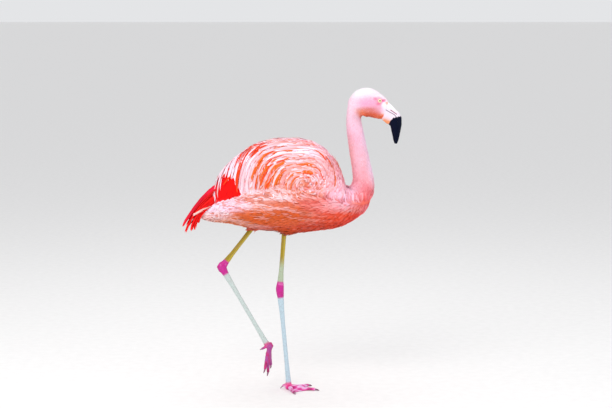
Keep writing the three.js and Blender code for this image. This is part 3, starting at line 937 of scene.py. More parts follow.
        # The deep orange under the plumage is partly painted bounce light for the gaps between feathers.
        hidden = blend(colour, linear(self.down), np.full(len(points), 0.55))
        hidden = blend(hidden, colour, LIE.neck_share(points))
        colour = blend(hidden, colour, bare)
        limb = np.zeros((len(points), 3))
        for side, plan in LEGS.items():
            on_leg = leg_share(points, side)
            colour = blend(colour, plan.colour(points), on_leg)
            bare = np.maximum(bare, on_leg)
            foot, ankle = np.array(plan.foot), np.array(plan.ankle)
            along = (points - foot) @ unit(ankle - foot)
            bone = [np.interp(points[:, 2], [foot[2], ankle[2]], [foot[i], ankle[i]]) for i in (0, 1)]
            turn = np.arctan2(points[:, 1] - bone[1], points[:, 0] - bone[0])
            limb = blend(limb, joined(along, turn, np.ones(len(points))), on_leg)
        store(skin.data, "plumage", "FLOAT_COLOR", colour)
        store(skin.data, "bare", "FLOAT", bare)
        store(skin.data, "limb", "FLOAT_VECTOR", limb)


def leg_share(points: Array, side: str) -> Array:
    """Finds one leg's bare skin, with a soft edge where the thigh's feathers begin.

    Args:
        points: Rows of x, y, z.
        side: left or right.

    Returns:
        1 on the bare skin, 0 elsewhere.
    """
    gap = leg_gap(points, LEGS[side])
    other = leg_gap(points, LEGS["left" if side == "right" else "right"])
    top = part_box(f"thigh_{side}")[0].z + BARE_FROM
    mine = (gap < other) & ((gap < LEG_REACH) | (points[:, 2] < 0.40))
    return smooth(points[:, 2], top, top - 5 * MM) * mine


def leg_gap(points: Array, plan: Leg) -> Array:
    """The distance of points from the bones of a leg."""
    return gap_to((plan.sleeve, plan.ankle, plan.foot, plan.toe), points)


def bare_face(points: Array) -> Array:
    """Finds the lids and the bare strip between the eye and the bill.

    Args:
        points: Rows of x, y, z.

    Returns:
        1 on the bare skin, 0 elsewhere.
    """
    x, z = points[:, 0], points[:, 2]
    made = np.zeros(len(points))
    for side in SIDES.values():
        middle, axis = eye_frame(side)
        offset = points - middle
        flat = offset - (offset @ axis)[:, None] * axis
        ring = norm(flat, axis=1)
        rim = 1 - smooth(ring, 7.2 * MM, 8.6 * MM)
        on_side = points[:, 1] * side > 1.5 * MM
        strip = smooth(x, 0.248, 0.252) * (1 - smooth(z, 0.790, 0.796)) * smooth(z, 0.752, 0.760)
        made = np.maximum(made, np.maximum(rim * (x > 0.23), strip) * on_side * (z > CHEEK_HEIGHT))
    return made


# ---- Feathers ----


class Section(Enum):
    """The cross-section of a feather, across and up as shares of half its width, from its left edge round."""

    TUFT = ((-1.0, 0.0), (0.0, 0.34), (1.0, 0.0))
    BLADE = ((-1.0, -0.16), (-0.52, 0.06), (0.0, 0.15), (0.52, 0.06), (1.0, -0.16), (0.0, -0.06))


class Ground:
    """The finished skin as a surface to plant feathers on."""

    def __init__(self, skin: Piece) -> None:
        """Keeps the skin's points, normals and faces, with a search tree.

        Args:
            skin: The skin, in triangles.
        """
        mesh = skin.data
        self.points, self.normals = points_of(mesh), normals_of(mesh)
        corners = np.empty(len(mesh.loops), np.int32)
        mesh.loops.foreach_get("vertex_index", corners)
        self.faces = corners.reshape(-1, 3)
        self.tree = BVHTree.FromPolygons(self.points.tolist(), self.faces.tolist())
        a, b, c = (self.points[self.faces[:, i]] for i in range(3))
        self.areas = 0.5 * norm(np.cross(b - a, c - a), axis=1)

    def nearest(self, points: Array) -> tuple[Array, Array]:
        """Finds the nearest places on the skin.

        Args:
            points: Rows of x, y, z.

        Returns:
            The places and the skin's normals there.
        """
        found = [self.tree.find_nearest(point) for point in points]
        places = np.array([hit[0] for hit in found])
        corners = self.faces[[hit[2] for hit in found]]
        gap = norm(self.points[corners] - places[:, None], axis=2)
        weight = 1.0 / (gap + 0.1 * MM)
        normals = (self.normals[corners] * weight[..., None]).sum(axis=1)
        return places, unit(normals)

    def scatter(self, rng: np.random.Generator, spacing: float, where: Callable[[Array], Array]) -> Array:
        """Picks places about evenly over part of the skin.

        Args:
            rng: The source of random numbers.
            spacing: About how far apart the places are.
            where: Which points belong, as shares from 0 to 1.

        Returns:
            Rows of x, y, z.
        """
        middle = self.points[self.faces].mean(axis=1)
        chance = self.areas * (where(middle) > 0.0)
        count = int(TRIES * chance.sum() / spacing**2)
        chosen = rng.choice(len(middle), size=count, p=chance / chance.sum())
        share = rng.random((count, 2))
        root = np.sqrt(share[:, 0])
        weights = joined(1 - root, root * (1 - share[:, 1]), root * share[:, 1])
        points = (self.points[self.faces[chosen]] * weights[..., None]).sum(axis=1)
        points = points[rng.random(count) < where(points)]
        grid: dict[tuple[int, int, int], list[int]] = {}
        kept: list[int] = []
        cells = np.floor(points / spacing).astype(int).tolist()
        rows = points.tolist()
        limit = (CLOSEST * spacing) ** 2
        around = [(i, j, k) for i in (-1, 0, 1) for j in (-1, 0, 1) for k in (-1, 0, 1)]
        for index, ((a, b, c), (x, y, z)) in enumerate(zip(cells, rows)):
            near = (rows[other] for i, j, k in around for other in grid.get((a + i, b + j, c + k), ()))
            if all((p - x) ** 2 + (q - y) ** 2 + (r - z) ** 2 >= limit for p, q, r in near):
                grid.setdefault((a, b, c), []).append(index)
                kept.append(index)
        return points[kept]


@dataclass
class Flock:
    """Many feathers of one tract: where each is rooted and how each one is cut.

    Attributes:
        roots: Where the feathers grow, as rows of x, y, z.
        length: Each feather's length in metres.
        width: Each feather's widest breadth in metres.
        lift: How high each tip stands over the skin.
        yaw: How far each feather turns aside from the lie, in radians.
        course: The places each one runs over and the way up at them, or None where it follows the lie.
    """

    roots: Array
    length: Array
    width: Array
    lift: Array
    yaw: Array
    course: tuple[Array, Array] | None = None


@dataclass(frozen=True)
class Cut:
    """The shape that a tract's feathers share.

    Attributes:
        section: The cross-section.
        rings: Where the cross-sections stand along the feather.
        blunt: Below 1 the widest place is nearer the root, above 1 nearer the tip.
        round: Below 1 gives a broad, blunt outline, 1 a pointed one.
        rise: How the height grows along the feather: 1 is even, more is later.
        root_depth: How far the root is sunk below the skin.
        cup: How much of the section's own height is kept.
    """

    section: Section = Section.TUFT
    rings: tuple[float, ...] = (0.34, 0.72)
    blunt: float = 1.3
    round: float = 0.75
    rise: float = 1.0
    root_depth: float = 0.6 * MM
    cup: float = 1.0


def rotate(vectors: Array, axes: Array, angle: Array) -> Array:
    """Turns vectors about unit axes that are square to them."""
    return vectors * np.cos(angle)[:, None] + np.cross(axes, vectors) * np.sin(angle)[:, None]


def trace(ground: Ground, flock: Flock, stops: Sequence[float]) -> tuple[Array, Array]:
    """Follows the lie over the skin from each root.

    Args:
        ground: The skin.
        flock: The feathers.
        stops: Shares of the length at which a place is wanted, from 0 to 1.

    Returns:
        The places on the skin and the normals there, each with one row for each feather and stop.
    """
    place, normal = ground.nearest(flock.roots)
    places, normals = [place], [normal]
    way = rotate(LIE.direction(place, normal), normal, flock.yaw)
    for before, after in zip(stops, stops[1:]):
        step = (flock.length * (after - before))[:, None]
        if before > 0.0:
            lie = rotate(LIE.direction(place, normal), normal, flock.yaw)
            way = unit(way + (lie - way) * FOLLOW)
            way = unit(way - normal * (way * normal).sum(axis=1, keepdims=True))
        here = place + way * step
        place, normal = ground.nearest(here)
        gap = norm(here - place, axis=1)
        slipped = gap > SLIP * step[:, 0] + 2 * MM
        place = np.where(slipped[:, None], here, place)
        normal = np.where(slipped[:, None], normals[-1], normal)
        places.append(place)
        normals.append(normal)
    return np.stack(places, axis=1), np.stack(normals, axis=1)


def quills(cut: Cut, course: Array, up: Array, width: Array, lift: Array) -> tuple[Array, Array, Array]:
    """Works out the points and faces of many feathers at once.

    Args:
        cut: The shape they share.
        course: Places at each one's root, rings and tip.
        up: The way up there.
        width: Each one's breadth.
        lift: Each tip's height over its course.

    Returns:
        The points, one feather's triangles and each point's share across and along its feather.
    """
    share = np.array([0.0, *cut.rings, 1.0])
    height = lift[:, None] * share**cut.rise - cut.root_depth * (1 - share)
    line = course + up * height[..., None]
    ahead = unit(np.gradient(line, axis=1))
    side = unit(np.cross(ahead, up))
    above = np.cross(side, ahead)
    outline = np.sin(np.pi * share[1:-1] ** cut.blunt) ** cut.round
    outline = np.maximum(outline, NARROWEST)
    half = 0.5 * width[:, None] * outline
    profile = np.array(cut.section.value)
    profile = profile * np.array([1.0, cut.cup])
    rings = line[:, 1:-1, None] + half[..., None, None] * (
        side[:, 1:-1, None] * profile[None, None, :, :1] + above[:, 1:-1, None] * profile[None, None, :, 1:]
    )
    count, spans, corners = len(course), len(cut.rings), len(profile)
    points = np.concatenate([line[:, :1], rings.reshape(count, -1, 3), line[:, -1:]], axis=1)
    tip = 1 + spans * corners
    faces = []
    for i in range(corners):
        j = (i + 1) % corners
        faces.append((0, 1 + j, 1 + i))
        faces.append((tip - corners + i, tip - corners + j, tip))
        for k in range(spans - 1):
            a, b = 1 + k * corners + i, 1 + k * corners + j
            faces.append((a, b, b + corners))
            faces.append((a, b + corners, a + corners))
    across = np.concatenate([[0.0], np.tile(profile[:, 0], spans), [0.0]])
    along = np.concatenate([[0.0], np.repeat(share[1:-1], corners), [1.0]])
    return points, np.array(faces), joined(across, along)


def feather_mesh(name: str, points: Array, faces: Array, spot: Array, colour: Array, roots: Array) -> Piece:
    """Joins feathers of one shape into one mesh.

    Args:
        name: The piece's name.
        points: The points of each feather.
        faces: The triangles of one feather.
        spot: Each point's share across and along its feather.
        colour: Each point's colour.
        roots: Each root's u and v.

    Returns:
        The new piece.
    """
    count, size = points.shape[:2]
    corners = (faces[None] + (np.arange(count) * size)[:, None, None]).reshape(-1)
    mesh = bpy.data.meshes.new(name)
    mesh.vertices.add(count * size)
    mesh.vertices.foreach_set("co", points.astype(np.float32).ravel())
    mesh.loops.add(len(corners))
    mesh.loops.foreach_set("vertex_index", corners.astype(np.int32))
    mesh.polygons.add(len(corners) // 3)
    mesh.polygons.foreach_set("loop_start", np.arange(0, len(corners), 3, dtype=np.int32))
    mesh.update(calc_edges=True)
    store(mesh, "plumage", "FLOAT_COLOR", colour.reshape(-1, 3))
    patch = UV_PATCH * (spot[None] * np.array([1.0, 2.0]) - np.array([0.0, 1.0])) + roots[:, None]
    for layer, values in (("OFBake", patch), ("vane", np.broadcast_to(spot, (count, size, 2)))):
        uv = mesh.uv_layers.new(name=layer)
        uv.data.foreach_set("uv", values.reshape(-1, 2)[corners].astype(np.float32).ravel())
    piece = link(name, mesh)
    shade(piece, SHARP_EDGE)
    return piece


def unwrap_body(points: Array) -> Array:
    """Opens the body's skin along the belly: round the body, and along it.

    Args:
        points: Rows of x, y, z.

    Returns:
        Rows of u, v.
    """
    lo, hi = CAD_BOX[0][0], CAD_BOX[1][0]
    x, y, z = points.T
    middle = np.interp(x, [-0.25, -0.10, 0.05, 0.20], [0.492, 0.550, 0.560, 0.520])
    turn = np.arctan2(y, z - middle) / (2 * math.pi) + 0.5
    along = (x - lo) / (hi - lo)
    return np.clip(joined(turn, along), 0.0, 1.0) * 0.98 + 0.01


def unwrap_neck(points: Array) -> Array:
    """The place of points on the skin of the neck and head, opened along the throat."""
    along, _, turn, _ = SPINE.locate(points)
    return np.clip(joined(turn / (2 * math.pi) + 0.5, along), 0.0, 1.0) * 0.98 + 0.01


@dataclass(frozen=True)
class Tint:
    """How a tract's feathers differ from the markings, and from each other.

    Attributes:
        streaks: Colours that single feathers take, with the share of feathers that take each; "" is no colour.
        streak: How strongly they take it.
        tip: The colour towards the tips, and its strength.
        base: The colour towards the roots, and its strength.
        edge: The colour along the edges, and its strength.
        edge_side: 1 for the inner edge alone, 0 for both.
        edge_from: The share across at which the edge's colour starts.
        edge_least: The least part of its strength that an edge takes.
        vary: How much feathers differ in brightness.
        shared: How far neighbours along the lie share a streak, from 0 to 1.
    """

    streaks: tuple[tuple[str, float], ...] = ()
    streak: float = 0.5
    tip: tuple[str, float] = ("fff0f4", 0.25)
    base: tuple[str, float] = ("e06a50", 0.0)
    edge: tuple[str, float] = ("f0703c", 0.0)
    edge_side: float = 0.0
    edge_from: float = 0.15
    edge_least: float = 0.6
    vary: float = 0.07
    shared: float = 0.0

    def dress(self, rng: np.random.Generator, colour: Array, spot: Array, side: Array, band: Array,
              force: Array | float = 1.0) -> Array:
        """Tints feathers.

        Args:
            rng: The source of random numbers.
            colour: The markings at each feather's points.
            spot: Each point's share across and along its feather.
            side: 1 where a feather's inner edge is on its left, -1 where it is on its right.
            band: What a feather shares with its neighbours, from 0 to 1.
            force: How strongly each feather takes its tints.

        Returns:
            The new colours.
        """
        count = len(colour)
        pick, strength = rng.random(count), rng.uniform(0.6, 1.0, count) * force
        pick = np.argsort(np.argsort(self.shared * band + (1 - self.shared) * pick)) / count
        made, start = colour.copy(), 0.0
        across, along = spot[None, :, 0], spot[None, :, 1]
        fair = np.clip(colour[..., 1] / 0.35, 0.12, 1.0)

        def toward(code: str, share: Array) -> Array:
            """Mixes in a colour, less where it is paler than dark markings."""
            paler = linear(code)[1] > colour[..., 1]
            return blend(made, linear(code), share * np.where(paler, fair, 1.0))

        for code, chance in self.streaks:
            taken = (pick >= start) & (pick < start + chance)
            if code:
                made = toward(code, (taken * strength * self.streak)[:, None])
            start += chance
        if self.edge_side:
            reach = smooth(across * (self.edge_side * side)[:, None], self.edge_from, 0.5 + 0.5 * self.edge_from)
        else:
            reach = smooth(np.abs(across), 0.2, 1.0)
        reach = reach * smooth(along, 1.0, 0.75) * (force * rng.uniform(self.edge_least, 1.0, count))[:, None]
        made = toward(self.edge[0], self.edge[1] * reach)
        made = toward(self.base[0], self.base[1] * (1 - smooth(along, 0.0, 0.6)) * strength[:, None])
        made = toward(self.tip[0], self.tip[1] * smooth(along, 0.45, 1.0) * strength[:, None])
        return np.clip(made * (1 + self.vary * rng.standard_normal(count))[:, None, None], 0.0, 1.0)


@dataclass
class Plumage:
    """Every tract of feathers that follows the skin.

    Attributes:
        ground: The skin.
        rng: The source of random numbers.
        lean: How far the locks over the wing lean out from the swirl's middle.
        vary: How much feathers of one tract differ in width and in lift.
        longest_step: How far apart two rings of a lock may lie.
        foremost: How far ahead a lock may reach.
        beside: How far beside the bird the search for the skin starts.
    """

    ground: Ground
    rng: np.random.Generator
    lean: float = 0.35
    vary: float = 0.12
    longest_step: float = 34 * MM
    foremost: float = 0.142
    beside: float = 0.35

    def flock(self, roots: Array, length: Array | float, width: Array | float, lift: Array | float,
              uneven: float = 0.15, stray: float = 0.10) -> Flock:
        """Gives each root a feather of about the size asked for, no two quite alike."""
        swing = [self.rng.standard_normal(len(roots)).clip(-2, 2) for _ in range(4)]
        return Flock(roots, length * (1 + uneven * swing[0]), width * (1 + self.vary * swing[3]),
                     lift * (1 + self.vary * swing[2]), stray * swing[1])

    def tract(self, name: str, flock: Flock, cut: Cut, tint: Tint, unwrap: Callable[[Array], Array],
              bright: bool = False, plain: str | None = None, force: Array | float = 1.0) -> Piece:
        """Makes one tract as one piece.

        Args:
            name: The piece's name.
            flock: The feathers.
            cut: Their shape.
            tint: Their tints, over the markings.
            unwrap: Gives the u and v of a root.
            bright: Whether they take the crimson behind the wings.
            plain: One colour for all of them instead of the markings.
            force: How strongly each one takes its tints.

        Returns:
            The new piece.
        """
        course, up = flock.course or trace(self.ground, flock, [0.0, *cut.rings, 1.0])
        points, faces, spot = quills(cut, course, up, flock.width, flock.lift)
        marks = MARKINGS.colour(course.reshape(-1, 3), bright).reshape(course.shape)
        if plain:
            marks = np.broadcast_to(linear(plain), course.shape)
        repeat = [1] + [len(cut.section.value)] * len(cut.rings) + [1]
        colour = np.repeat(marks, repeat, axis=1)
        side = np.sign(flock.roots[:, 1])
        band = BANDS.at(course[:, course.shape[1] // 2])
        colour = tint.dress(self.rng, colour, spot, side, band, force)
        piece = feather_mesh(name, points, faces, spot, colour, unwrap(flock.roots))
        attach(piece, "root")
        LOG.info("%s: %d feathers", name, len(points))
        return piece

    def head(self) -> list[Piece]:
        """The short plumage of the face and crown, down to the top of the neck.

        Returns:
            One piece.
        """
        def where(points: Array) -> Array:
            """1 on the feathered head."""
            along = SPINE.locate(points)[0]
            return smooth(along, 0.70, 0.74) * LIE.neck_share(points) * (bare_face(points) < 0.35)

        roots = self.ground.scatter(self.rng, 1.75 * MM, where)
        along, _, _, _ = SPINE.locate(roots)
        near_eye = np.minimum(*(norm(roots - eye_frame(side)[0], axis=1) for side in SIDES.values()))
        small = 0.6 + 0.4 * smooth(near_eye, 8 * MM, 20 * MM)
        length, lift = graded(along, (0.70, 0.80, 0.95, 1.0), (6.5, 5.6, 4.6, 3.2), (2.0, 1.5, 1.2, 0.7))
        width = graded(along, (0.70, 0.85, 1.0), (2.3, 1.9, 1.5))[0]
        flock = self.flock(roots, length * small, width * (0.7 + 0.3 * small), lift * small)
        tint = Tint(streaks=(("ffffff", 0.12), ("f8a8c0", 0.10)), streak=0.25, tip=("fff6fa", 0.2), vary=0.03)
        return [self.tract("plumage_head", flock, Cut(rings=(0.35, 0.72)), tint, unwrap_neck)]

    def neck(self) -> list[Piece]:
        """The close plumage of the neck.

        Returns:
            One piece.
        """
        def where(points: Array) -> Array:
            """1 on the neck."""
            along = SPINE.locate(points)[0]
            return (1 - smooth(along, 0.71, 0.75)) * smooth(LIE.neck_share(points), 0.25, 0.6)

        roots = self.ground.scatter(self.rng, 2.3 * MM, where)
        along, _, _, _ = SPINE.locate(roots)
        length, width = graded(along, (0.1, 0.3, 0.5, 0.75), (15.0, 10.0, 8.5, 7.0), (4.0, 3.2, 2.8, 2.5))
        lift = graded(along, (0.1, 0.25, 0.4, 0.75), (5.0, 3.6, 2.8, 2.2))[0]
        flock = self.flock(roots, length, width, lift, stray=0.08)
        tint = Tint(streaks=(("ffe6ee", 0.14), ("f07c80", 0.12)), streak=0.22, tip=("ffeaf2", 0.18), vary=0.035)
        return [self.tract("plumage_neck", flock, Cut(rings=(0.32, 0.70)), tint, unwrap_neck)]

    def under(self) -> list[Piece]:
        """The plumage of the breast, belly, flanks and thighs.

        Returns:
            The breast and the flanks.
        """
        def low(points: Array) -> Array:
            """1 below the wings, clear of the bare legs and of the neck."""
            wing = 1 - smooth(LIE.over_wing(points), 0.004, 0.022)
            wing = np.maximum(wing, smooth(points[:, 0], 0.118, 0.134))
            legs = np.maximum(leg_share(points, "left"), leg_share(points, "right"))
            neck = 1 - smooth(LIE.neck_share(points), 0.55, 0.85)
            rear = smooth(points[:, 0], -0.185, -0.150)
            return wing * neck * rear * (legs < 0.5)

        made = []
        spans = (("breast", 0.060, 0.40, "breast_plumage"), ("flank", -0.30, 0.060, "flank_plumage"))
        for part, start, end, slot in spans:
            roots = self.ground.scatter(
                self.rng, 3.5 * MM, lambda points: low(points) * (points[:, 0] >= start) * (points[:, 0] < end)
            )
            length, width = graded(
                roots[:, 0], (-0.18, -0.06, 0.08, 0.16, 0.23), (40, 48, 38, 27, 19), (5.5, 5.2, 5.4, 5.4, 4.8)
            )
            lift = graded(roots[:, 0], (-0.18, -0.06, 0.12, 0.20, 0.23), (6.5, 6.5, 6.0, 4.6, 3.2))[0]
            thigh = np.minimum(leg_gap(roots, LEGS["left"]), leg_gap(roots, LEGS["right"]))
            close = 0.24 + 0.76 * smooth(thigh, 13 * MM, 38 * MM)
            flock = self.flock(roots, length * close, width * (0.6 + 0.4 * close), lift * close, 0.18, 0.13)
            if part == "breast":
                tint = Tint((("d83a20", 0.28), ("", 0.36), ("ffd2d8", 0.36)), 0.55, ("ffd4d4", 0.12), vary=0.05,
                            shared=0.65)
            else:
                tint = Tint((("d85618", 0.34), ("", 0.30), ("ffdae4", 0.36)), 0.85, ("ffdcd4", 0.15), vary=0.06,
                            shared=0.7)
            cut = Cut(rings=(0.22, 0.5, 0.8), blunt=1.25, round=0.8)
            made.append(self.tract(f"plumage_{part}", flock, cut, tint, unwrap_body))
        return made

    def rump(self) -> list[Piece]:
        """The loose, pale plumage under and behind the wings' ends.

        Returns:
            One piece.
        """
        def where(points: Array) -> Array:
            """1 under and behind the wings' ends."""
            rear = (1 - smooth(points[:, 0], -0.175, -0.140)) * (points[:, 2] > 0.44)
            return rear * (1 - smooth(LIE.over_wing(points), -0.012, 0.002))

        roots = self.ground.scatter(self.rng, 3.6 * MM, where)
        flock = self.flock(roots, 26 * MM, 6 * MM, 7.5 * MM, 0.2, 0.22)
        tint = Tint((("ffffff", 0.25), ("f8c4b0", 0.18)), 0.45, ("fff4ff", 0.35), vary=0.05)
        cut = Cut(rings=(0.22, 0.5, 0.8), blunt=1.2, round=0.7, rise=0.9)
        return [self.tract("plumage_rump", flock, cut, tint, unwrap_body)]

    def coverts(self) -> list[Piece]:
        """The short feathers of the wing, round the wrist and over the back, and the bright patch behind.

        Returns:
            The wing and the crimson patch.
        """
        def wing(points: Array) -> Array:
            """1 on the folded wing and the back."""
            body = 1 - smooth(LIE.neck_share(points), 0.25, 0.55)
            return smooth(LIE.over_wing(points), 0.0, 0.012) * body * (points[:, 0] < 0.145)

        def bright(points: Array) -> Array:
            """1 on the crimson patch."""
            turn, share = LIE.ring_of(points)
            return smooth(turn, 156, 161) * (turn < 215) * smooth(share, 0.845, 0.868)

        pale_roots = self.ground.scatter(self.rng, 4.2 * MM, lambda p: wing(p) * (1 - bright(p)) * (p[:, 0] > -0.2))
        turn, share = LIE.ring_of(pale_roots)
        length, width = graded(share, (0, 0.3, 0.7, 1.0, 1.4), (18, 22, 32, 34, 30), (7.0, 8.0, 9.5, 10.0, 10.0))
        length *= np.interp(turn, [-30, 30, 90, 160], [0.70, 0.72, 1.0, 1.15])
        lift = graded(turn, (-30, 30, 90, 160), (5.8, 6.0, 5.6, 5.0))[0]
        flock = self.flock(pale_roots, length, width, lift, 0.22, 0.16)
        # The orange towards the feathers' roots is partly painted bounce light, so that the shaded gaps between them
        # look orange.
        tint = Tint((("fceeff", 0.28), ("f08a5c", 0.22), ("f890a8", 0.16)), 0.70, ("fceeff", 0.45), ("f2835c", 0.45),
                    ("f0683a", 0.55),
                    1.0, 0.2, 0.2, 0.05, shared=0.4)
        cut = Cut(rings=(0.2, 0.42, 0.64, 0.85), blunt=1.35, round=0.55)
        calm = np.interp(turn, [-90, 35, 75, 110, 240, 270], [0.45, 0.45, 0.8, 1.0, 1.0, 0.45])
        calm = np.where(share > 0.45, calm, 1.0)
        made = [self.tract("plumage_wing", flock, cut, tint, unwrap_body, force=calm)]
        red_roots = self.ground.scatter(self.rng, 4.2 * MM, lambda p: bright(p) * (LIE.over_wing(p) > -0.004))
        flock = self.flock(red_roots, 34 * MM, 9 * MM, 4.0 * MM, 0.15, 0.08)
        tint = Tint((("ff2a10", 0.25), ("d80410", 0.25)), 0.5, ("ff2410", 0.25), vary=0.05)
        made.append(self.tract("plumage_crimson", flock, cut, tint, unwrap_body, bright=True))
        return made

    def over_rings(self, side: float, share: Array, start: Array, end: Array, stops: Array) -> tuple[Array, Array]:
        """Lays courses along the swirl's rings, over one side of the bird.

        Args:
            side: 1 for the bird's left, -1 for its right.
            share: Each course's share of the rings, at each stop.
            start: The angle in degrees where each one starts.
            end: The angle where it ends.
            stops: Shares of a course.

        Returns:
            The places on the skin and the way up at them, leaning out from the swirl's middle.
        """
        turn = start[:, None] + (end - start)[:, None] * stops
        flat = LIE.ring_place(turn, share)
        beyond = LIE.ring_place(turn, share + 0.02) - flat
        outward = unit(joined(beyond[..., 0], np.zeros(turn.shape), beyond[..., 1]))
        tree, beside = self.ground.tree, np.zeros(turn.shape)
        places = np.empty((*turn.shape, 3))
        for row, stop in np.ndindex(turn.shape):
            inward, hit = share[row, stop], None
            while hit is None or (hit.y * side < 0.006 and inward > 0.3):
                x, z = LIE.ring_place(turn[row, stop], np.array(inward))
                hit = tree.ray_cast(Vector((x, side * self.beside, z)), Vector((0.0, -side, 0.0)))[0]
                inward -= 0.01
            missed = float(np.hypot(*(flat[row, stop] - (x, z))))
            places[row, stop] = hit
            beside[row, stop] = max(hit.y * side - 4.5 * missed, 0.003)
        for _ in range(3):
            beside[:, 1:-1] = 0.25 * (beside[:, :-2] + beside[:, 2:]) + 0.5 * beside[:, 1:-1]
        for row, stop in np.argwhere(share > 0.9):
            start_place = Vector((flat[row, stop, 0], side * beside[row, stop], flat[row, stop, 1]))
            way = Vector(outward[row, stop])
            hit = tree.ray_cast(start_place + 0.2 * way, -way)[0]
            places[row, stop] = hit or tree.find_nearest(start_place)[0]
        flat_places, normals = self.ground.nearest(places.reshape(-1, 3))
        return flat_places.reshape(places.shape), unit(normals.reshape(places.shape) + self.lean * outward)

    def scapulars(self) -> list[Piece]:
        """The long locks that sweep round the folded wing and down over the rump.

        Returns:
            The locks, the orange stripes and the finer bars.
        """
        rows = (
            # Share of the ring; first and last root angle; first and last tip angle; how many; width in mm; drift.
            (0.13, -40, 200, 60, 270, 12, 6.0, 0.0), (0.21, -50, 180, 30, 240, 15, 6.5, 0.0),
            (0.30, -50, 165, 15, 215, 19, 7.0, -0.02), (0.39, -45, 155, 15, 203, 22, 7.5, -0.03),
            (0.48, -30, 150, 25, 197, 24, 8.0, -0.03), (0.57, -10, 145, 42, 193, 25, 8.5, -0.04),
            (0.65, 0, 138, 52, 191, 25, 9.0, -0.04), (0.73, 10, 132, 60, 190, 25, 9.5, -0.04),
            (0.80, 18, 126, 66, 189, 25, 10.5, -0.03), (0.84, 25, 120, 70, 188, 24, 10.5, -0.01),
            (0.89, 30, 116, 72, 172, 20, 12.0, 0.0), (0.925, 36, 112, 76, 171, 17, 12.0, 0.0),
            (0.96, 40, 114, 80, 177, 18, 11.0, 0.01), (0.98, 42, 116, 80, 184, 18, 11.0, 0.01),
            (1.00, 46, 120, 84, 194, 17, 11.0, 0.0), (1.03, 50, 126, 88, 195, 15, 11.0, 0.0),
            (0.985, 110, 130, 185, 191, 6, 8.5, 0.015), (0.995, 110, 135, 190, 194, 6, 9.0, 0.0),
            (1.06, 40, 126, 80, 190, 17, 12.0, 0.0), (1.10, 40, 126, 80, 188, 17, 12.0, 0.0),
            (0.932, 112, 118, 177, 181, 4, 16.0, 0.0),
        )
        cut = Cut(Section.BLADE, (0.05, 0.13, 0.22, 0.32, 0.42, 0.52, 0.62, 0.72, 0.81, 0.89, 0.95), 1.1, 0.42, 0.55,
                  0.5 * MM, cup=0.8)
        tint = Tint((("f79a9c", 0.34), ("", 0.24), ("faf0ff", 0.42)), 0.75, ("fbecff", 0.45), edge=("f4622c", 0.85),
                    edge_side=1.0, edge_from=0.1, edge_least=0.0, vary=0.03, shared=0.5)
        locks = self.locks(rows, cut, 0.0)
        made = [self.tract("plumage_scapulars", locks, cut, tint, unwrap_body)]
        outer = (
            # Orange lines along the rings, set down like the rows above.
            (0.89, 112, 142, 150, 188, 13, 6.5, 0.0), (1.0, 112, 126, 132, 150, 9, 5.5, 0.0),
            (0.82, 122, 136, 146, 158, 5, 6.5, -0.01), (0.85, 100, 120, 124, 144, 5, 3.0, -0.03),
            (0.95, 62, 104, 88, 122, 7, 3.4, 0.0), (0.885, 128, 134, 180, 188, 3, 6.0, 0.0),
            (0.925, 160, 163, 180, 184, 2, 5.0, 0.06),
        )
        inner = (
            (0.79, 95, 130, 118, 152, 7, 3.6, -0.05), (0.73, 90, 140, 112, 160, 6, 3.0, -0.05),
            (0.70, 116, 134, 142, 160, 6, 5.5, -0.08), (0.68, 138, 152, 166, 180, 6, 5.0, -0.05),
            (0.62, 80, 160, 112, 188, 10, 3.8, -0.05), (0.53, 134, 152, 170, 186, 8, 5.5, -0.02),
            (0.49, 116, 138, 148, 164, 6, 6.5, -0.08), (0.44, 148, 162, 176, 190, 6, 5.0, 0.02),
            (0.55, 60, 130, 90, 150, 10, 4.0, -0.03), (0.35, 128, 148, 168, 186, 8, 5.5, -0.03),
            (0.46, 40, 62, 92, 116, 6, 5.5, -0.09), (0.32, 5, 26, 80, 112, 6, 5.0, -0.11),
            (0.42, -20, 150, 20, 180, 12, 3.4, -0.05), (0.24, -30, 150, 20, 200, 10, 4.0, -0.02),
            (0.15, -50, 180, 30, 250, 8, 3.6, 0.0), (0.85, 84, 96, 106, 118, 3, 5.0, 0.03),
            (0.68, 96, 110, 116, 130, 3, 6.0, 0.0), (0.78, 10, 90, 40, 112, 8, 3.4, 0.0),
            (0.66, -20, 60, 15, 85, 8, 3.6, 0.0), (0.88, 0, 40, 24, 64, 6, 3.0, 0.0),
            (0.67, 124, 130, 168, 178, 2, 5.0, -0.24), (0.71, 118, 124, 166, 174, 2, 4.5, -0.10),
        )
        tint = Tint((("ff3008", 0.25), ("f87430", 0.3), ("fa9470", 0.2)), 0.7, ("f89c80", 0.15), vary=0.05)
        for name, rows, above, plain in (("plumage_stripes", outer, 2.2 * MM, "f43c06"),
                                         ("plumage_bars", inner, 1.2 * MM, "ee6a1e")):
            locks = self.locks(rows, cut, above)
            made.append(self.tract(name, locks, cut, tint, unwrap_body, plain=plain))
        return made

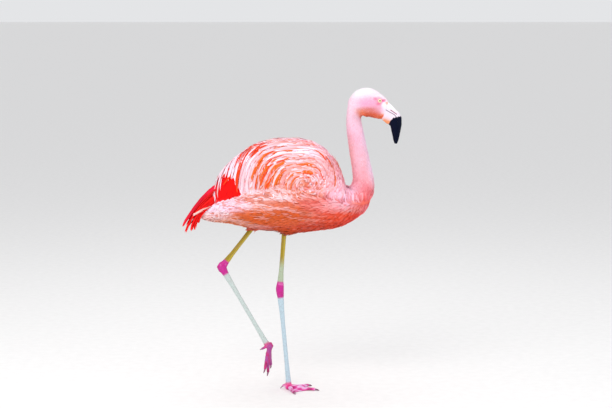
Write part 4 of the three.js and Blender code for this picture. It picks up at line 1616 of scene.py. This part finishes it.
    def locks(self, rows: Rows, cut: Cut, above: float) -> Flock:
        """Lays rows of long locks over the rings on both sides of the bird.

        Args:
            rows: Share of the ring; first and last root angle; first and last tip angle; how many; width in mm;
                how far the locks drift between rings.
            cut: Their shape.
            above: How much higher than usual they lie.

        Returns:
            The locks, with the places they run over.
        """
        stops = np.array([0.0, *cut.rings, 1.0])
        courses, ups, widths, lifts = [], [], [], []
        for side in SIDES.values():
            for share, first, last, first_tip, last_tip, count, width, drift in rows:
                grown = np.linspace(0, 1, count)
                start = first + (last - first) * grown + self.rng.uniform(-3, 3, count)
                end = first_tip + (last_tip - first_tip) * grown**0.8 + self.rng.uniform(-2.5, 1.5, count)
                drifts = drift + self.rng.uniform(-0.03, 0.03, count)
                ring = share + self.rng.uniform(-0.02, 0.02, count)[:, None] + drifts[:, None] * (stops - 0.3)
                course, up = self.over_rings(side, ring, start, end, stops)
                step = norm(np.diff(course, axis=1), axis=2).max(axis=1)
                kept = (step < self.longest_step) & (course[..., 0].max(axis=1) < self.foremost)
                courses.append(course[kept])
                ups.append(up[kept])
                widths.append((width * (0.9 + 0.3 * grown) * MM)[kept])
                lifts.append(np.full(kept.sum(), (5.5 + 2.5 * share) * MM + above))
        course, up = np.concatenate(courses), np.concatenate(ups)
        width, lift = np.concatenate(widths), np.concatenate(lifts)
        flock = self.flock(course[:, 0], width, width, lift, 0.0, 0.0)
        flock.course = course, up
        return flock


@dataclass
class Plumes:
    """The loose crimson feathers that droop behind the wings, and the short pale tail under them."""

    rng: np.random.Generator
    # The middle of one side's bunch: x, y, z, then half its depth and half its width, in millimetres.
    stations: Rows = (
        (-140, 20, 562, 28, 16), (-160, 20, 556, 30, 17), (-194, 21, 545, 26, 15), (-222, 19, 524, 20, 12),
        (-245, 16, 500, 16, 10), (-262, 13, 477, 13, 8), (-275, 11, 458, 11, 7), (-283, 10, 443, 8, 6),
    )
    # Where the strands' tips hang, from the uppermost down, as x and z in millimetres.
    tips: Rows = ((-289, 454), (-281, 438), (-266, 442), (-257, 445), (-246, 464))
    count: int = 95
    tail_count: int = 13

    def bunch(self, side: float) -> tuple[Array, Array, Array, Array]:
        """The courses of one side's feathers.

        Args:
            side: 1 for the bird's left, -1 for its right.

        Returns:
            Each feather's places, the way up there, its width and how high in the bunch it lies, from -1 to 1.
        """
        table = np.array(self.stations) * MM
        stop = np.linspace(0.0, 1.0, len(table))
        start = self.rng.uniform(0.0, 0.42, self.count)
        reach = self.rng.uniform(0.34, 0.56, self.count)
        long = np.arange(self.count) < 0.6 * self.count
        reach = np.where(long, 1.0 - start, reach)
        high = self.rng.uniform(-0.85, 0.85, self.count)
        out = self.rng.uniform(-1.1, 0.9, self.count)
        share = np.array([0.0, *self.cut.rings, 1.0])
        at = np.clip(start[:, None] + reach[:, None] * share[None], 0.0, 1.0)
        row = np.stack([np.interp(at, stop, table[:, i]) for i in range(5)], axis=-1)
        slope = np.gradient(table[:, (0, 2)], axis=0)
        slope /= norm(slope, axis=1, keepdims=True)
        course = np.stack([np.interp(at, stop, slope[:, i]) for i in range(2)], axis=-1)
        over = joined(course[..., 1], -course[..., 0])
        over *= np.sign(over[..., 1:])
        points = joined(
            row[..., 0] + over[..., 0] * row[..., 3] * high[:, None],
            row[..., 1] + row[..., 4] * out[:, None],
            row[..., 2] + over[..., 1] * row[..., 3] * high[:, None],
        )
        strand = np.clip(((0.85 - high) / 1.7 * len(self.tips)).astype(int), 0, len(self.tips) - 1)
        ends = (np.array(self.tips)[strand] + 1.3 * self.rng.standard_normal((self.count, 2))) * MM
        gap = (ends - points[:, -1, (0, 2)]) * long[:, None]
        points[..., (0, 2)] += gap[:, None] * share[None, :, None] ** 2.2
        points[..., 1] += 2.0 * MM * self.rng.standard_normal(self.count)[:, None] * share**2
        points[..., 1] *= side
        up = joined(0.5 * over[..., 0], np.full(at.shape, side), 0.5 * over[..., 1])
        return points, unit(up), self.rng.uniform(3.8, 6.4, self.count) * MM, high

    @property
    def cut(self) -> Cut:
        """The long, narrow shape of a drooping feather."""
        return Cut(Section.BLADE, (0.06, 0.2, 0.36, 0.52, 0.68, 0.82, 0.93), 0.9, 0.6, 1.0, 0.0, cup=0.7)

    def piece(self, name: str, cut: Cut, course: Array, up: Array, width: Array, lift: float, marks: Array,
              tint: Tint) -> Piece:
        """Makes one piece of feathers with a colour each.

        Args:
            name: The piece's name.
            cut: The feathers' shape.
            course: Places at each one's root, rings and tip.
            up: The way up there.
            width: Each one's breadth.
            lift: How high the tips stand over their course.
            marks: Each one's colour, before it is tinted.
            tint: Their tints.

        Returns:
            The new piece.
        """
        points, faces, spot = quills(cut, course, up, width, np.full(len(width), lift))
        colour = np.broadcast_to(marks[:, None], points.shape)
        colour = tint.dress(self.rng, colour, spot, np.ones(len(points)), self.rng.random(len(points)))
        return feather_mesh(name, points, faces, spot, colour, unwrap_body(course[:, 0]))

    def build(self) -> Piece:
        """Makes the drooping feathers of both sides.

        Returns:
            The new piece.
        """
        rows = [self.bunch(side) for side in SIDES.values()]
        course, up, width, high = (np.concatenate(part) for part in zip(*rows))
        marks = blend(linear("fa0a08"), linear("e81048"), 0.8 * smooth(high, 0.35, 0.8))
        tint = Tint((("ff2a0c", 0.30), ("d0080c", 0.22), ("f82050", 0.12), ("f8b484", 0.03)), 0.7, ("ff3020", 0.25),
                    ("e01048", 0.3), vary=0.10)
        piece = self.piece("plumes", self.cut, course, up, width, 0.8 * MM, marks, tint)
        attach(piece, "root")
        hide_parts(*both("plumes"))
        return piece

    def tail(self) -> Piece:
        """Makes the short tail, its feathers fanned a little and laid over each other.

        Returns:
            The new piece.
        """
        share = np.array([0.0, 0.06, 0.2, 0.36, 0.52, 0.68, 0.82, 0.93, 1.0])
        cut = Cut(Section.BLADE, tuple(share[1:-1]), 1.25, 0.5, 1.0, 0.0, cup=0.9)
        across = np.linspace(-1, 1, self.tail_count)
        order = np.abs(across)
        root = joined(-0.195 + 0 * across, 0.024 * across, 0.520 - 0.004 * order)
        tip = joined(-0.264 + 0.003 * order, 0.029 * across, 0.486 - 0.003 * self.rng.random(len(across)))
        course = root[:, None] + (tip - root)[:, None] * share[None, :, None]
        course[..., 2] += 0.004 * np.sin(np.pi * share)[None]
        course[..., 2] += 0.0012 * np.cos(np.arange(len(across)) * np.pi)[:, None]
        flat = np.ones(course.shape[:2])
        up = unit(joined(0.2 * flat, 0.35 * across[:, None] + 0 * share[None], flat))
        marks = np.broadcast_to(linear("fbd0d4"), root.shape)
        tint = Tint((("fff6f2", 0.5), ("f6a088", 0.2)), 0.7, ("fff8f0", 0.5), ("f4a898", 0.4), vary=0.04)
        width = np.full(len(across), 10 * MM)
        piece = self.piece("tail_feathers", cut, course, up, width, 1.0 * MM, marks, tint)
        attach(piece, "root")
        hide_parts("tail")
        return piece


# ---- Bill, eyes and claws ----


@dataclass(frozen=True)
class Bill:
    """The two horn sheaths of the bent bill, pale at the root and black beyond the bend."""

    voxel: float = 0.7 * MM
    sunk: float = 6 * MM
    taper: float = 0.86
    nostril_depth: float = 1.5 * MM
    base: Point = (0.261, 0.0, 0.769)
    base_way: Point = (0.96, 0.0, -0.27)
    # Where the black begins, as x and z along the side.
    border: Rows = (
        (0.256, 0.712), (0.268, 0.730), (0.272, 0.740), (0.280, 0.749), (0.291, 0.7515), (0.305, 0.754),
    )
    nostril: Rows = ((0.2740, 0.7700), (0.2900, 0.7590))
    mouth: Rows = ((0.256, 0.7735), (0.262, 0.770), (0.272, 0.764), (0.284, 0.7575), (0.291, 0.748))

    def build(self, name: str) -> Piece:
        """Makes the upper or lower sheath, with its root sunk into the face.

        Args:
            name: The sheath's node.

        Returns:
            The new piece.
        """
        source = copy_of([name], grow=0.05 * MM)
        base, way = Vector(self.base), Vector(self.base_way).normalized()
        near = [face for face in source.faces if all(abs((v.co - base).dot(way)) < 0.8 * MM for v in face.verts)]
        grown = bmesh.ops.extrude_face_region(source, geom=near)["geom"]
        bmesh.ops.delete(source, geom=near, context="FACES_ONLY")
        middle = base + way * -self.sunk
        for vert in grown:
            if isinstance(vert, bmesh.types.BMVert):
                inside = vert.co - way * self.sunk
                vert.co = middle + (inside - middle) * self.taper
        piece = remeshed(f"{name}_horn", source, self.voxel, 8)
        points, normals = points_of(piece.data), normals_of(piece.data)
        slit = self.along(points, self.nostril, 0.4 * MM, 1.5 * MM)
        points = points - normals * (self.nostril_depth * slit)[:, None]
        place_points(piece.data, points)
        store(piece.data, "plumage", "FLOAT_COLOR", self.colour(points, slit))
        store(piece.data, "gloss", "FLOAT", self.black(points))
        shade(piece)
        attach(piece, "root")
        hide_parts(name)
        return piece

    def along(self, points: Array, line: Rows, inner: float, outer: float) -> Array:
        """1 near a line on the side of the bill, 0 away from it."""
        return 1 - smooth(gap_to(line, points[:, (0, 2)]), inner, outer)

    def black(self, points: Array) -> Array:
        """1 on the black part, 0 on the pale one."""
        x, _, z = points.T
        wave = 0.7 * MM * np.sin(x * 900) + 0.4 * MM * np.sin(x * 2300 + 1)
        level = np.interp(x, *np.array(self.border).T) + wave
        return smooth(z, level + 1.2 * MM, level - 1.2 * MM)

    def colour(self, points: Array, slit: Array) -> Array:
        """Colours the horn.

        Args:
            points: Rows of x, y, z.
            slit: 1 in the nostril, 0 away from it.

        Returns:
            Rows of red, green and blue.
        """
        flat = points[:, (0, 2)]
        ridge = flat[:, 1] - np.interp(flat[:, 0], [0.262, 0.300], [0.776, 0.758])
        throat = norm((flat - np.array([0.262, 0.738])) / np.array([0.012, 0.012]), axis=1)
        rosy = norm((flat - np.array([0.268, 0.752])) / np.array([0.014, 0.010]), axis=1)
        made = np.broadcast_to(linear("ecdcec"), points.shape)
        for code, share in (
            ("fffdff", 0.8 * smooth(ridge, -2 * MM, 8 * MM)),
            ("f2924a", 0.9 * (1 - smooth(throat, 0.5, 1.5))),
            ("fbd9e8", 0.7 * (1 - smooth(rosy, 0.4, 1.4))),
            ("8a0c28", slit),
            ("3a2838", 0.85 * self.along(points, self.mouth, 0.5 * MM, 1.3 * MM)),
            ("060d24", self.black(points)),
        ):
            made = blend(made, linear(code), share)
        return made


@dataclass(frozen=True)
class Eye:
    """One eyeball with its clear bulge, pale iris and small pupil."""

    side: str
    bulge: float = 0.05
    bulge_from: float = 0.72

    def build(self) -> Piece:
        """Makes the eyeball, its pole turned the way the eye looks.

        Returns:
            The new piece.
        """
        middle, axis = eye_frame(SIDES[self.side])
        made = bmesh.new()
        bmesh.ops.create_uvsphere(made, u_segments=40, v_segments=28, radius=EYE_RADIUS)
        for vert in made.verts:
            over = max(vert.co.z / EYE_RADIUS - self.bulge_from, 0.0)
            vert.co *= 1 + self.bulge * over / (1 - self.bulge_from)
        turn = Vector((0.0, 0.0, 1.0)).rotation_difference(Vector(axis)).to_matrix()
        ring = [math.hypot(vert.co.x, vert.co.y) / EYE_RADIUS if vert.co.z > 0 else 1.0 for vert in made.verts]
        bmesh.ops.rotate(made, verts=made.verts, cent=Vector(), matrix=turn)
        bmesh.ops.translate(made, verts=made.verts, vec=Vector(middle))
        mesh = bpy.data.meshes.new(f"eyeball_{self.side}")
        made.to_mesh(mesh)
        made.free()
        store(mesh, "ring", "FLOAT", np.array(ring))
        piece = link(f"eyeball_{self.side}", mesh)
        shade(piece)
        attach(piece, "root")
        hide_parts(f"eye_{self.side}")
        return piece


@dataclass(frozen=True)
class Claws:
    """The eight small nails."""

    names: tuple[str, ...] = ("claw_inner", "claw_middle", "claw_outer", "claw_hallux")
    voxel: float = 0.5 * MM

    def build(self) -> Piece:
        """Makes all the nails as one piece, each rounded.

        Returns:
            The new piece.
        """
        piece = remeshed("claws", copy_of(both(*self.names), grow=0.1 * MM), self.voxel, 4)
        points = points_of(piece.data)
        points[:, 2] = np.maximum(points[:, 2], 0.0)
        place_points(piece.data, points)
        shade(piece)
        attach(piece, "root")
        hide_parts(*both(*self.names))
        return piece


# ---- Finishes ----


@dataclass
class Nodes:
    """A material's or a group's nodes, with short ways to add and join them.

    Attributes:
        tree: The nodes.
        shader: A material's shader.
        grain: The grain between its colour and its shader.
        bump: What raises the grain.
    """

    tree: bpy.types.NodeTree
    shader: Node | None = None
    grain: Node | None = None
    bump: Node | None = None

    def put(self, node: Node, inputs: Inputs) -> None:
        """Fills a node's inputs: a socket is joined to one, a plain value is set on it.

        Args:
            node: The node.
            inputs: What they get, by name or number.
        """
        for key, value in inputs.items():
            if isinstance(value, Socket):
                self.tree.links.new(value, node.inputs[key])
            else:
                node.inputs[key].default_value = value

    def add(self, kind: str, inputs: Inputs | None = None, **values: object) -> Node:
        """Adds a node.

        Args:
            kind: Its kind.
            inputs: What its inputs get.
            **values: Its properties.

        Returns:
            The node.
        """
        node = self.tree.nodes.new(kind)
        for name, value in values.items():
            setattr(node, name, value)
        self.put(node, inputs or {})
        return node

    def math(self, operation: str, *terms: Socket | float) -> Socket:
        """Works out a value from others."""
        return self.add("ShaderNodeMath", dict(enumerate(terms)), operation=operation).outputs[0]

    def stored(self, name: str, output: str = "Color") -> Socket:
        """Reads what the mesh keeps under a name."""
        return self.add("ShaderNodeAttribute", attribute_name=name).outputs[output]

    def place(self) -> Socket:
        """The place on the piece, in metres."""
        return self.add("ShaderNodeTexCoord").outputs["Object"]

    def mapped(self, vector: Socket, **values: Point) -> Socket:
        """Stretches and turns a vector, by Scale and Rotation."""
        return self.add("ShaderNodeMapping", {"Vector": vector, **values}).outputs["Vector"]

    def ramp(self, factor: Socket, stops: Sequence[tuple[float, str]]) -> Socket:
        """Turns a value into a colour.

        Args:
            factor: The value.
            stops: Places from 0 to 1, with a display colour each.

        Returns:
            The colour.
        """
        node = self.add("ShaderNodeValToRGB", {0: factor})
        band = node.color_ramp
        while len(band.elements) < len(stops):
            band.elements.new(0.5)
        for element, (place, code) in zip(band.elements, stops):
            element.position = place
            element.color = (*linear(code), 1.0)
        return node.outputs[0]


def grain_group() -> bpy.types.NodeTree:
    """Fine unevenness, which every finish uses: a colour made darker and lighter, and a height.

    Returns:
        The group of nodes.
    """
    tree = bpy.data.node_groups.new("grain", "ShaderNodeTree")
    for label, kind, value in (("Vector", "Vector", None), ("Colour", "Color", None),
                               ("Scale", "Float", 200.0), ("Amount", "Float", 0.1)):
        socket = tree.interface.new_socket(label, in_out="INPUT", socket_type=f"NodeSocket{kind}")
        if value is not None:
            socket.default_value = value
    for label, kind in (("Colour", "Color"), ("Height", "Float")):
        tree.interface.new_socket(label, in_out="OUTPUT", socket_type=f"NodeSocket{kind}")
    nodes = Nodes(tree)
    start = nodes.add("NodeGroupInput").outputs
    noise = nodes.add("ShaderNodeTexNoise", {"Detail": 3.0, "Vector": start["Vector"], "Scale": start["Scale"]})
    height = noise.outputs["Fac"]
    swing = nodes.math("MULTIPLY", nodes.math("SUBTRACT", height, 0.5), start["Amount"])
    swing = nodes.math("MULTIPLY_ADD", swing, 4.0, 1.0)
    scaled = nodes.add("ShaderNodeVectorMath", {0: start["Colour"], "Scale": swing}, operation="SCALE")
    nodes.add("NodeGroupOutput", {"Colour": scaled.outputs[0], "Height": height})
    return tree


@dataclass(frozen=True)
class Finish:
    """What every finish has: a name, a gloss and a fine grain.

    Attributes:
        name: The material's name.
        rough: Its roughness.
        grain: How much the grain lightens and darkens the colour.
        scale: How fine the grain is.
        bump: How strongly the grain is raised.
        coat: The weight of a wet coat.
        shine: The strength of plain reflections.
    """

    name: str
    rough: float
    grain: float
    scale: float
    bump: float
    coat: float = 0.0
    shine: float = 0.5

    def build(self, grain_tree: bpy.types.NodeTree) -> bpy.types.Material:
        """Makes the material, with the shared grain between its colour and its shader.

        Args:
            grain_tree: The shared grain.

        Returns:
            The material.
        """
        material = bpy.data.materials.new(self.name)
        material.use_nodes = True
        nodes = Nodes(material.node_tree, material.node_tree.nodes["Principled BSDF"])
        nodes.grain = nodes.add("ShaderNodeGroup", node_tree=grain_tree)
        nodes.put(nodes.grain, {"Scale": self.scale, "Amount": self.grain})
        grain, distance = nodes.grain.outputs, 0.4 * MM
        nodes.bump = nodes.add("ShaderNodeBump", {"Strength": self.bump, "Distance": distance,
                                                  "Height": grain["Height"]})
        nodes.put(nodes.shader, {"Roughness": self.rough, "Specular IOR Level": self.shine, "Coat Weight": self.coat,
                                 "Coat Roughness": 0.1, "Base Color": grain["Colour"],
                                 "Normal": nodes.bump.outputs["Normal"]})
        self.dress(nodes)
        return material

    def dress(self, nodes: Nodes) -> None:
        """Gives the grain its vector and its colour, and the shader what else the finish needs."""
        raise NotImplementedError


@dataclass(frozen=True)
class FeatherFinish(Finish):
    """Feather vanes: the stored colour, streaked along the barbs."""

    barbs: float = 9.0

    def dress(self, nodes: Nodes) -> None:
        """Runs the grain along each vane, and shifts it from feather to feather."""
        vane = nodes.mapped(nodes.add("ShaderNodeUVMap", uv_map="vane").outputs["UV"], Scale=(self.barbs, 1.6, 1.0))
        drift = nodes.mapped(nodes.place(), Scale=(90.0, 90.0, 90.0))
        total = nodes.add("ShaderNodeVectorMath", {0: vane, 1: drift}, operation="ADD")
        nodes.put(nodes.grain, {"Vector": total.outputs[0], "Colour": nodes.stored("plumage")})


@dataclass(frozen=True)
class HideFinish(Finish):
    """Skin: downy under the plumage, soft on the lids, scaled on the legs."""

    def dress(self, nodes: Nodes) -> None:
        """Lays darker, sunken seams between the scales of the legs, and makes bare skin glossier.

        Args:
            nodes: The material's nodes.
        """
        limb = nodes.stored("limb", "Vector")
        scales = nodes.add("ShaderNodeTexVoronoi", {"Vector": nodes.mapped(limb, Scale=(260.0, 1.5, 0.0)),
                                                    "Scale": 1.0, "Randomness": 0.6}, feature="DISTANCE_TO_EDGE")
        seam = nodes.ramp(scales.outputs["Distance"], ((0.0, "ffffff"), (0.10, "000000")))
        seam = nodes.math("MULTIPLY", seam, nodes.add("ShaderNodeSeparateXYZ", {0: limb}).outputs["Z"])
        tinted = nodes.add("ShaderNodeMix", {
            0: nodes.math("MULTIPLY", seam, 0.28), 6: nodes.stored("plumage"), 7: (*linear("8a6a78"), 1.0),
        }, data_type="RGBA")
        nodes.put(nodes.grain, {"Vector": nodes.place(), "Colour": tinted.outputs[2]})
        nodes.put(nodes.bump, {"Height": nodes.math("SUBTRACT", nodes.grain.outputs["Height"], seam)})
        gloss = nodes.math("MULTIPLY", nodes.stored("bare", "Fac"), -0.28)
        nodes.put(nodes.shader, {"Roughness": nodes.math("ADD", gloss, self.rough)})


@dataclass(frozen=True)
class HornFinish(Finish):
    """Bill horn: satin where pale, glossier where black, with fine lines along it."""

    def dress(self, nodes: Nodes) -> None:
        """Stretches the grain down the bill, and makes the black part glossier."""
        lines = nodes.mapped(nodes.place(), Rotation=(0.0, math.radians(-48), 0.0), Scale=(0.35, 1.6, 2.2))
        nodes.put(nodes.grain, {"Vector": lines, "Colour": nodes.stored("plumage")})
        gloss = nodes.math("MULTIPLY", nodes.stored("gloss", "Fac"), -0.14)
        nodes.put(nodes.shader, {"Roughness": nodes.math("ADD", gloss, self.rough)})


@dataclass(frozen=True)
class EyeFinish(Finish):
    """A wet eye: dark pupil, cream iris and a dark rim, by the distance from the middle."""

    stops: tuple[tuple[float, str], ...] = (
        (0.0, "0c0a0e"), (0.24, "0c0a0e"), (0.275, "b89858"), (0.34, "f0e2ac"), (0.52, "f8f0cc"), (0.66, "ecd8a8"),
        (0.72, "6a4a34"), (0.78, "2a1a18"),
    )

    def dress(self, nodes: Nodes) -> None:
        """Colours the eye in rings."""
        nodes.put(nodes.grain, {"Vector": nodes.place(), "Colour": nodes.ramp(nodes.stored("ring", "Fac"), self.stops)})


@dataclass(frozen=True)
class ClawFinish(Finish):
    """Nails: dark horn, clouded with a paler one."""

    def dress(self, nodes: Nodes) -> None:
        """Clouds the horn."""
        place = nodes.place()
        cloud = nodes.add("ShaderNodeTexNoise", {"Vector": place, "Scale": 160.0})
        tone = nodes.ramp(cloud.outputs["Fac"], ((0.3, "5a3a50"), (0.7, "a8688a")))
        nodes.put(nodes.grain, {"Vector": place, "Colour": tone})


# ---- Studio ----


@dataclass(frozen=True)
class Studio:
    """A pale floor, soft lights and the camera.

    Attributes:
        camera_place: Where the camera stands.
        camera_tilt: How far it is turned up from looking straight down, in degrees.
        lens: Its focal length in millimetres.
        floor_reach: Half the side of the floor.
        lamp_aim: What the lamps face.
        lamps: Each lamp's name, place, size, power and tint.
    """

    camera_place: Point = (0.04545, -4.47, 1.0352)
    camera_tilt: float = 90 - 6.652
    lens: float = 97.353
    floor_reach: float = 150.0
    lamp_aim: Point = (0.0, 0.0, 0.55)
    lamps: tuple[tuple[str, Point, float, float, Point], ...] = (
        ("key_light", (-1.3, -2.6, 2.7), 2.0, 54.0, (1.0, 0.98, 0.96)),
        ("fill_light", (2.4, -2.4, 1.3), 2.4, 22.0, (0.97, 0.98, 1.0)),
        ("top_light", (0.0, 0.8, 3.0), 2.2, 16.0, (1.0, 1.0, 1.0)),
    )

    def floor(self) -> None:
        """Lays the floor."""
        made = bmesh.new()
        bmesh.ops.create_grid(made, x_segments=1, y_segments=1, size=self.floor_reach)
        mesh = bpy.data.meshes.new("floor")
        made.to_mesh(mesh)
        made.free()
        piece = link("floor", mesh)
        material = bpy.data.materials.new("studio_floor")
        material.use_nodes = True
        nodes = Nodes(material.node_tree)
        cloud = nodes.add("ShaderNodeTexNoise", {"Scale": 40.0, "Vector": nodes.place()})
        tone = nodes.ramp(cloud.outputs["Fac"], ((0.3, "efeeed"), (0.7, "f3f2f1")))
        nodes.put(material.node_tree.nodes["Principled BSDF"], {
            "Roughness": 0.9, "Specular IOR Level": 0.1, "Base Color": tone,
        })
        piece.data.materials.append(material)

    def light(self) -> None:
        """Hangs the square soft lamps, and lights the room evenly."""
        for name, place, size, power, tint in self.lamps:
            data = bpy.data.lights.new(name, "AREA")
            data.size, data.energy, data.color = size, power, tint
            lamp = bpy.data.objects.new(name, data)
            lamp.location = place
            lamp.rotation_euler = (Vector(self.lamp_aim) - Vector(place)).to_track_quat("-Z", "Y").to_euler()
            bpy.context.scene.collection.objects.link(lamp)
        world = bpy.data.worlds.new("studio")
        world.use_nodes = True
        room = Nodes(world.node_tree)
        room.put(world.node_tree.nodes["Background"], {"Color": (0.97, 0.98, 1.0, 1.0), "Strength": 0.80})
        bpy.context.scene.world = world

    def build(self) -> None:
        """Sets up everything round the bird."""
        self.floor()
        self.light()
        scene = bpy.context.scene
        scene.view_settings.view_transform = "Standard"
        data = bpy.data.cameras.new("camera")
        data.lens, data.sensor_fit, data.sensor_width, data.clip_end = self.lens, "HORIZONTAL", 36.0, 500.0
        camera = bpy.data.objects.new("camera", data)
        camera.location = self.camera_place
        camera.rotation_euler = (math.radians(self.camera_tilt), 0.0, 0.0)
        scene.collection.objects.link(camera)
        scene.camera = camera


# ---- The bird ----


def main() -> None:
    """Builds the bird in order and reports each piece."""
    logging.basicConfig(level=logging.INFO, format="%(message)s")
    Studio().build()
    grain = grain_group()
    feather = FeatherFinish("feather_vanes", 0.75, 0.16, 1.0, 0.25, shine=0.15).build(grain)
    long_feather = FeatherFinish("long_vanes", 0.62, 0.14, 1.0, 0.3, shine=0.2, barbs=14.0).build(grain)
    hide = HideFinish("hide", 0.72, 0.10, 500.0, 0.35, shine=0.25).build(grain)
    horn = HornFinish("bill_horn", 0.46, 0.06, 500.0, 0.12, shine=0.06).build(grain)
    eye = EyeFinish("eye_surface", 0.08, 0.08, 900.0, 0.0, coat=1.0).build(grain)
    nail = ClawFinish("nail_horn", 0.4, 0.1, 900.0, 0.2).build(grain)

    plan = Hide()
    skin = plan.build()
    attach(skin, "root")
    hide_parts(*plan.body_nodes, *both("wing", "tertials", "thigh", *plan.leg_nodes))
    skin.data.materials.append(hide)
    LOG.info("skin: %d faces", len(skin.data.polygons))

    plumage = Plumage(Ground(skin), np.random.default_rng(7))
    plumes, bill = Plumes(np.random.default_rng(11)), Bill()
    for material, pieces in (
        (feather, plumage.head() + plumage.neck() + plumage.under() + plumage.rump() + plumage.coverts()),
        (long_feather, plumage.scapulars() + [plumes.build(), plumes.tail()]),
        (horn, [bill.build("bill_upper"), bill.build("bill_lower")]),
        (eye, [Eye(side).build() for side in SIDES]),
        (nail, [Claws().build()]),
    ):
        for piece in pieces:
            piece.data.materials.append(material)
            LOG.info("%s: %d faces", piece.name, len(piece.data.polygons))


if __name__ == "__main__":
    main()
